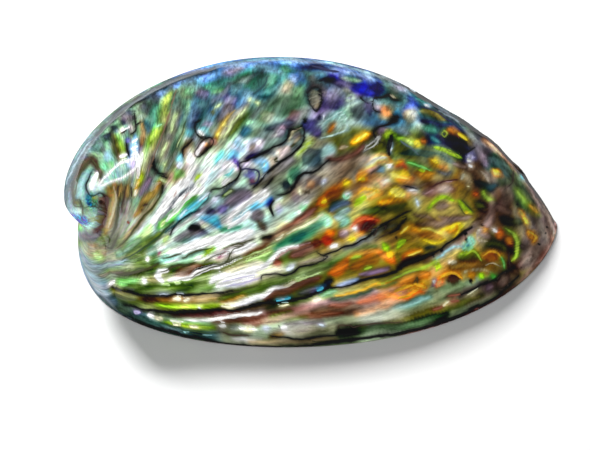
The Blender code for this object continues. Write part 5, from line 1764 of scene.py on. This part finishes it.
# The paint's gain, the gloss's haze taken out of it, and how far it is evened against the studio lights, which paints
# it darker where they fall strongly and lighter where they fall weakly
GAIN = 1.49
HAZE = 0.012
PAINTED_LIGHT_EVENING = 0.8
BRIGHTEST = 0.95
CURVE_STEPS = 6
SHARPEST = 1.2
UNDER_LINE = 2.4
GLOW_WIDTH = 5.0
GLOW_DEPTH = 1.6
RAGGED_SHARE = 0.5
CRISP_RADIUS = 3
CRISPNESS = 0.45
WAVERS = ((11.0, 2.4, 6), (4.5, 1.0, 16))
COMB = 7.0
COMBED_FROM = 0.8
THINNEST_COMBED = 5.0
CALM_ABOVE = 0.012
CALM_OVER = 0.006
UNEVEN_SIZE = 5.0
WIDEST_LINE = 6.0
WIDE_CORE = 0.55
LINE_REACH = 1.9
INK_EDGE = 0.55
GLEAM_EDGE = 0.6
LUMINANCE = np.array((0.30, 0.59, 0.11))
MUTED = 0.12
INK_STRENGTH = 0.97
INK_WIDTH = 0.68
# How strongly the ripples' painted shade and light darken and lighten the paint
RIPPLE_PAINTED_SHADE = 0.95
RIPPLE_MIDDLE = 0.6
RIPPLE_HEIGHT = 0.00022
WEAKEST_RIPPLES = 0.35
RIPPLES_GROW_FROM = 230.0
RIPPLES_GROW_OVER = 130.0
RIPPLES_GROW_BELOW = 235.0
RIPPLES_GROW_DOWN = 40.0
GLEAM_STRENGTH = 0.8
HOLE_SIDES = 28
HOLE_FLARE = 0.25
HOLE_RING = 0.0006
RING_AWAY = 0.0007
RING_WIDTH = 0.0008
HOLE_EDGE = (196, 204, 190)
HOLE_WALL = (150, 156, 146)
PATCH_STRETCH = (0.10, 0.80, 0.80)
PATCH_WAVER = (0.9, 0.9, 0.9)
BAND_TURNS = 1.7
PATCH_HUES = 0.07
PATCH_LIGHTS = 0.42
PATCH_RICHNESS = 1.2
SEAM = (0.012, 0.014, 0.008, 1.0)
GRAIN_ACROSS = 110.0
GRAIN_ALONG = 9.0
SHARP_EDGE = math.radians(35)
SEEN_FROM = 0.10
SEEN_RAGGED = 0.22
SEEN_OVER = 0.12
# The painted sheen along the top edge: its colour, how much of it, how wide, and from what height
EDGE_SHEEN = (92, 132, 190)
HORIZON_SHARE = 0.75
HORIZON_SPREAD = 0.45
HORIZON_ABOVE = 0.035
CLEAR_BY = 0.0008
INSIDE_WILD = 0.5
WILD_FROM = 0.04
WILD_OVER = 0.25
SEAM_WIDTH = 0.09
SEAM_DARKNESS = 0.95
FOLD_HEIGHT = 0.0002
STREAK_LIGHT = 0.22
STREAK_HUE = 0.18
RELIEF_FADE = 0.004
PICTURE = (
    (GROUND, 1.0, 1.0),
    (SPIRE, 0.9, 0.85),
    (SHOULDER, 0.72, 0.8),
    (CREST, 0.72, 0.72),
    (RIGHT_SIDE, 0.85, 0.9),
    (CENTRE, 0.8, 0.85),
    (FAN, 1.0, 1.0),
    (FLAMES, 0.95, 1.0),
    (SKIRT, 0.95, 1.0),
    (CREASES, 1.0, 1.0),
    (RIM, 1.0, 1.0),
)

bpy.context.scene.view_settings.view_transform = "Standard"
make_camera()
make_lights()
make_stage()

grown = Growth()
outside = Skin(grown, OUTER_CELLS)
inside = Skin(grown, INNER_CELLS)
outer_canvas = Canvas(outside, outside.places, NACRE_BANDS, 1.0)
outer_canvas.face_camera(grown)
for part, fullness, richness in PICTURE:
    outer_canvas.paint(part, fullness, richness)
outer_canvas.ring_holes(grown)
outer_canvas.finish()
inner_points = inner_places(inside)
inner_canvas = Canvas(inside, inner_points, INNER_BANDS, INSIDE_WILD)
whole_mesh, skin_colours = build_shell(
    outside, outer_canvas.raised(), inside, inner_points, outer_canvas.paint_colour, linear(inner_canvas.colour)
)
skin_mesh, origin = pierced(whole_mesh, hole_cutters(grown))
canvases = (outer_canvas, inner_canvas)
extra = np.zeros((len(skin_colours) - sum(len(canvas.places) for canvas in canvases), 3))
opaque = np.ones((len(skin_colours), 1))
for name in ("ink", "gleam"):
    lines = [getattr(canvas, name) for canvas in canvases]
    store(skin_mesh, name, "FLOAT_VECTOR", np.concatenate([kind.values() for kind in lines] + [extra])[origin])
    line_colours = linear(np.concatenate([kind.colour for kind in lines] + [extra]))
    store(skin_mesh, name + "_colour", "FLOAT_COLOR", np.concatenate([line_colours, opaque], axis=1)[origin])
paint = np.concatenate([skin_colours, opaque], axis=1)[origin]
in_hole = inside_holes(skin_mesh, grown)
paint[in_hole, :3] = linear(np.array(HOLE_WALL) / 255.0)
store(skin_mesh, "paint", "FLOAT_COLOR", paint)
wild = [canvas.wild for canvas in canvases]
store(skin_mesh, "wild", "FLOAT", np.concatenate(wild + [extra[:, 0]])[origin])
grain = [canvas.grown(GRAIN_ACROSS, GRAIN_ALONG) for canvas in canvases]
store(skin_mesh, "grain", "FLOAT_VECTOR", np.concatenate(grain + [extra])[origin])
skin_mesh.shade_smooth()
skin_mesh.set_sharp_from_angle(angle=SHARP_EDGE)
skin_mesh.materials.append(nacre_material())
shell = bpy.data.objects.new("nacre_shell", skin_mesh)
bpy.context.collection.objects.link(shell)
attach(shell, "root")
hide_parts("abalone_shell")
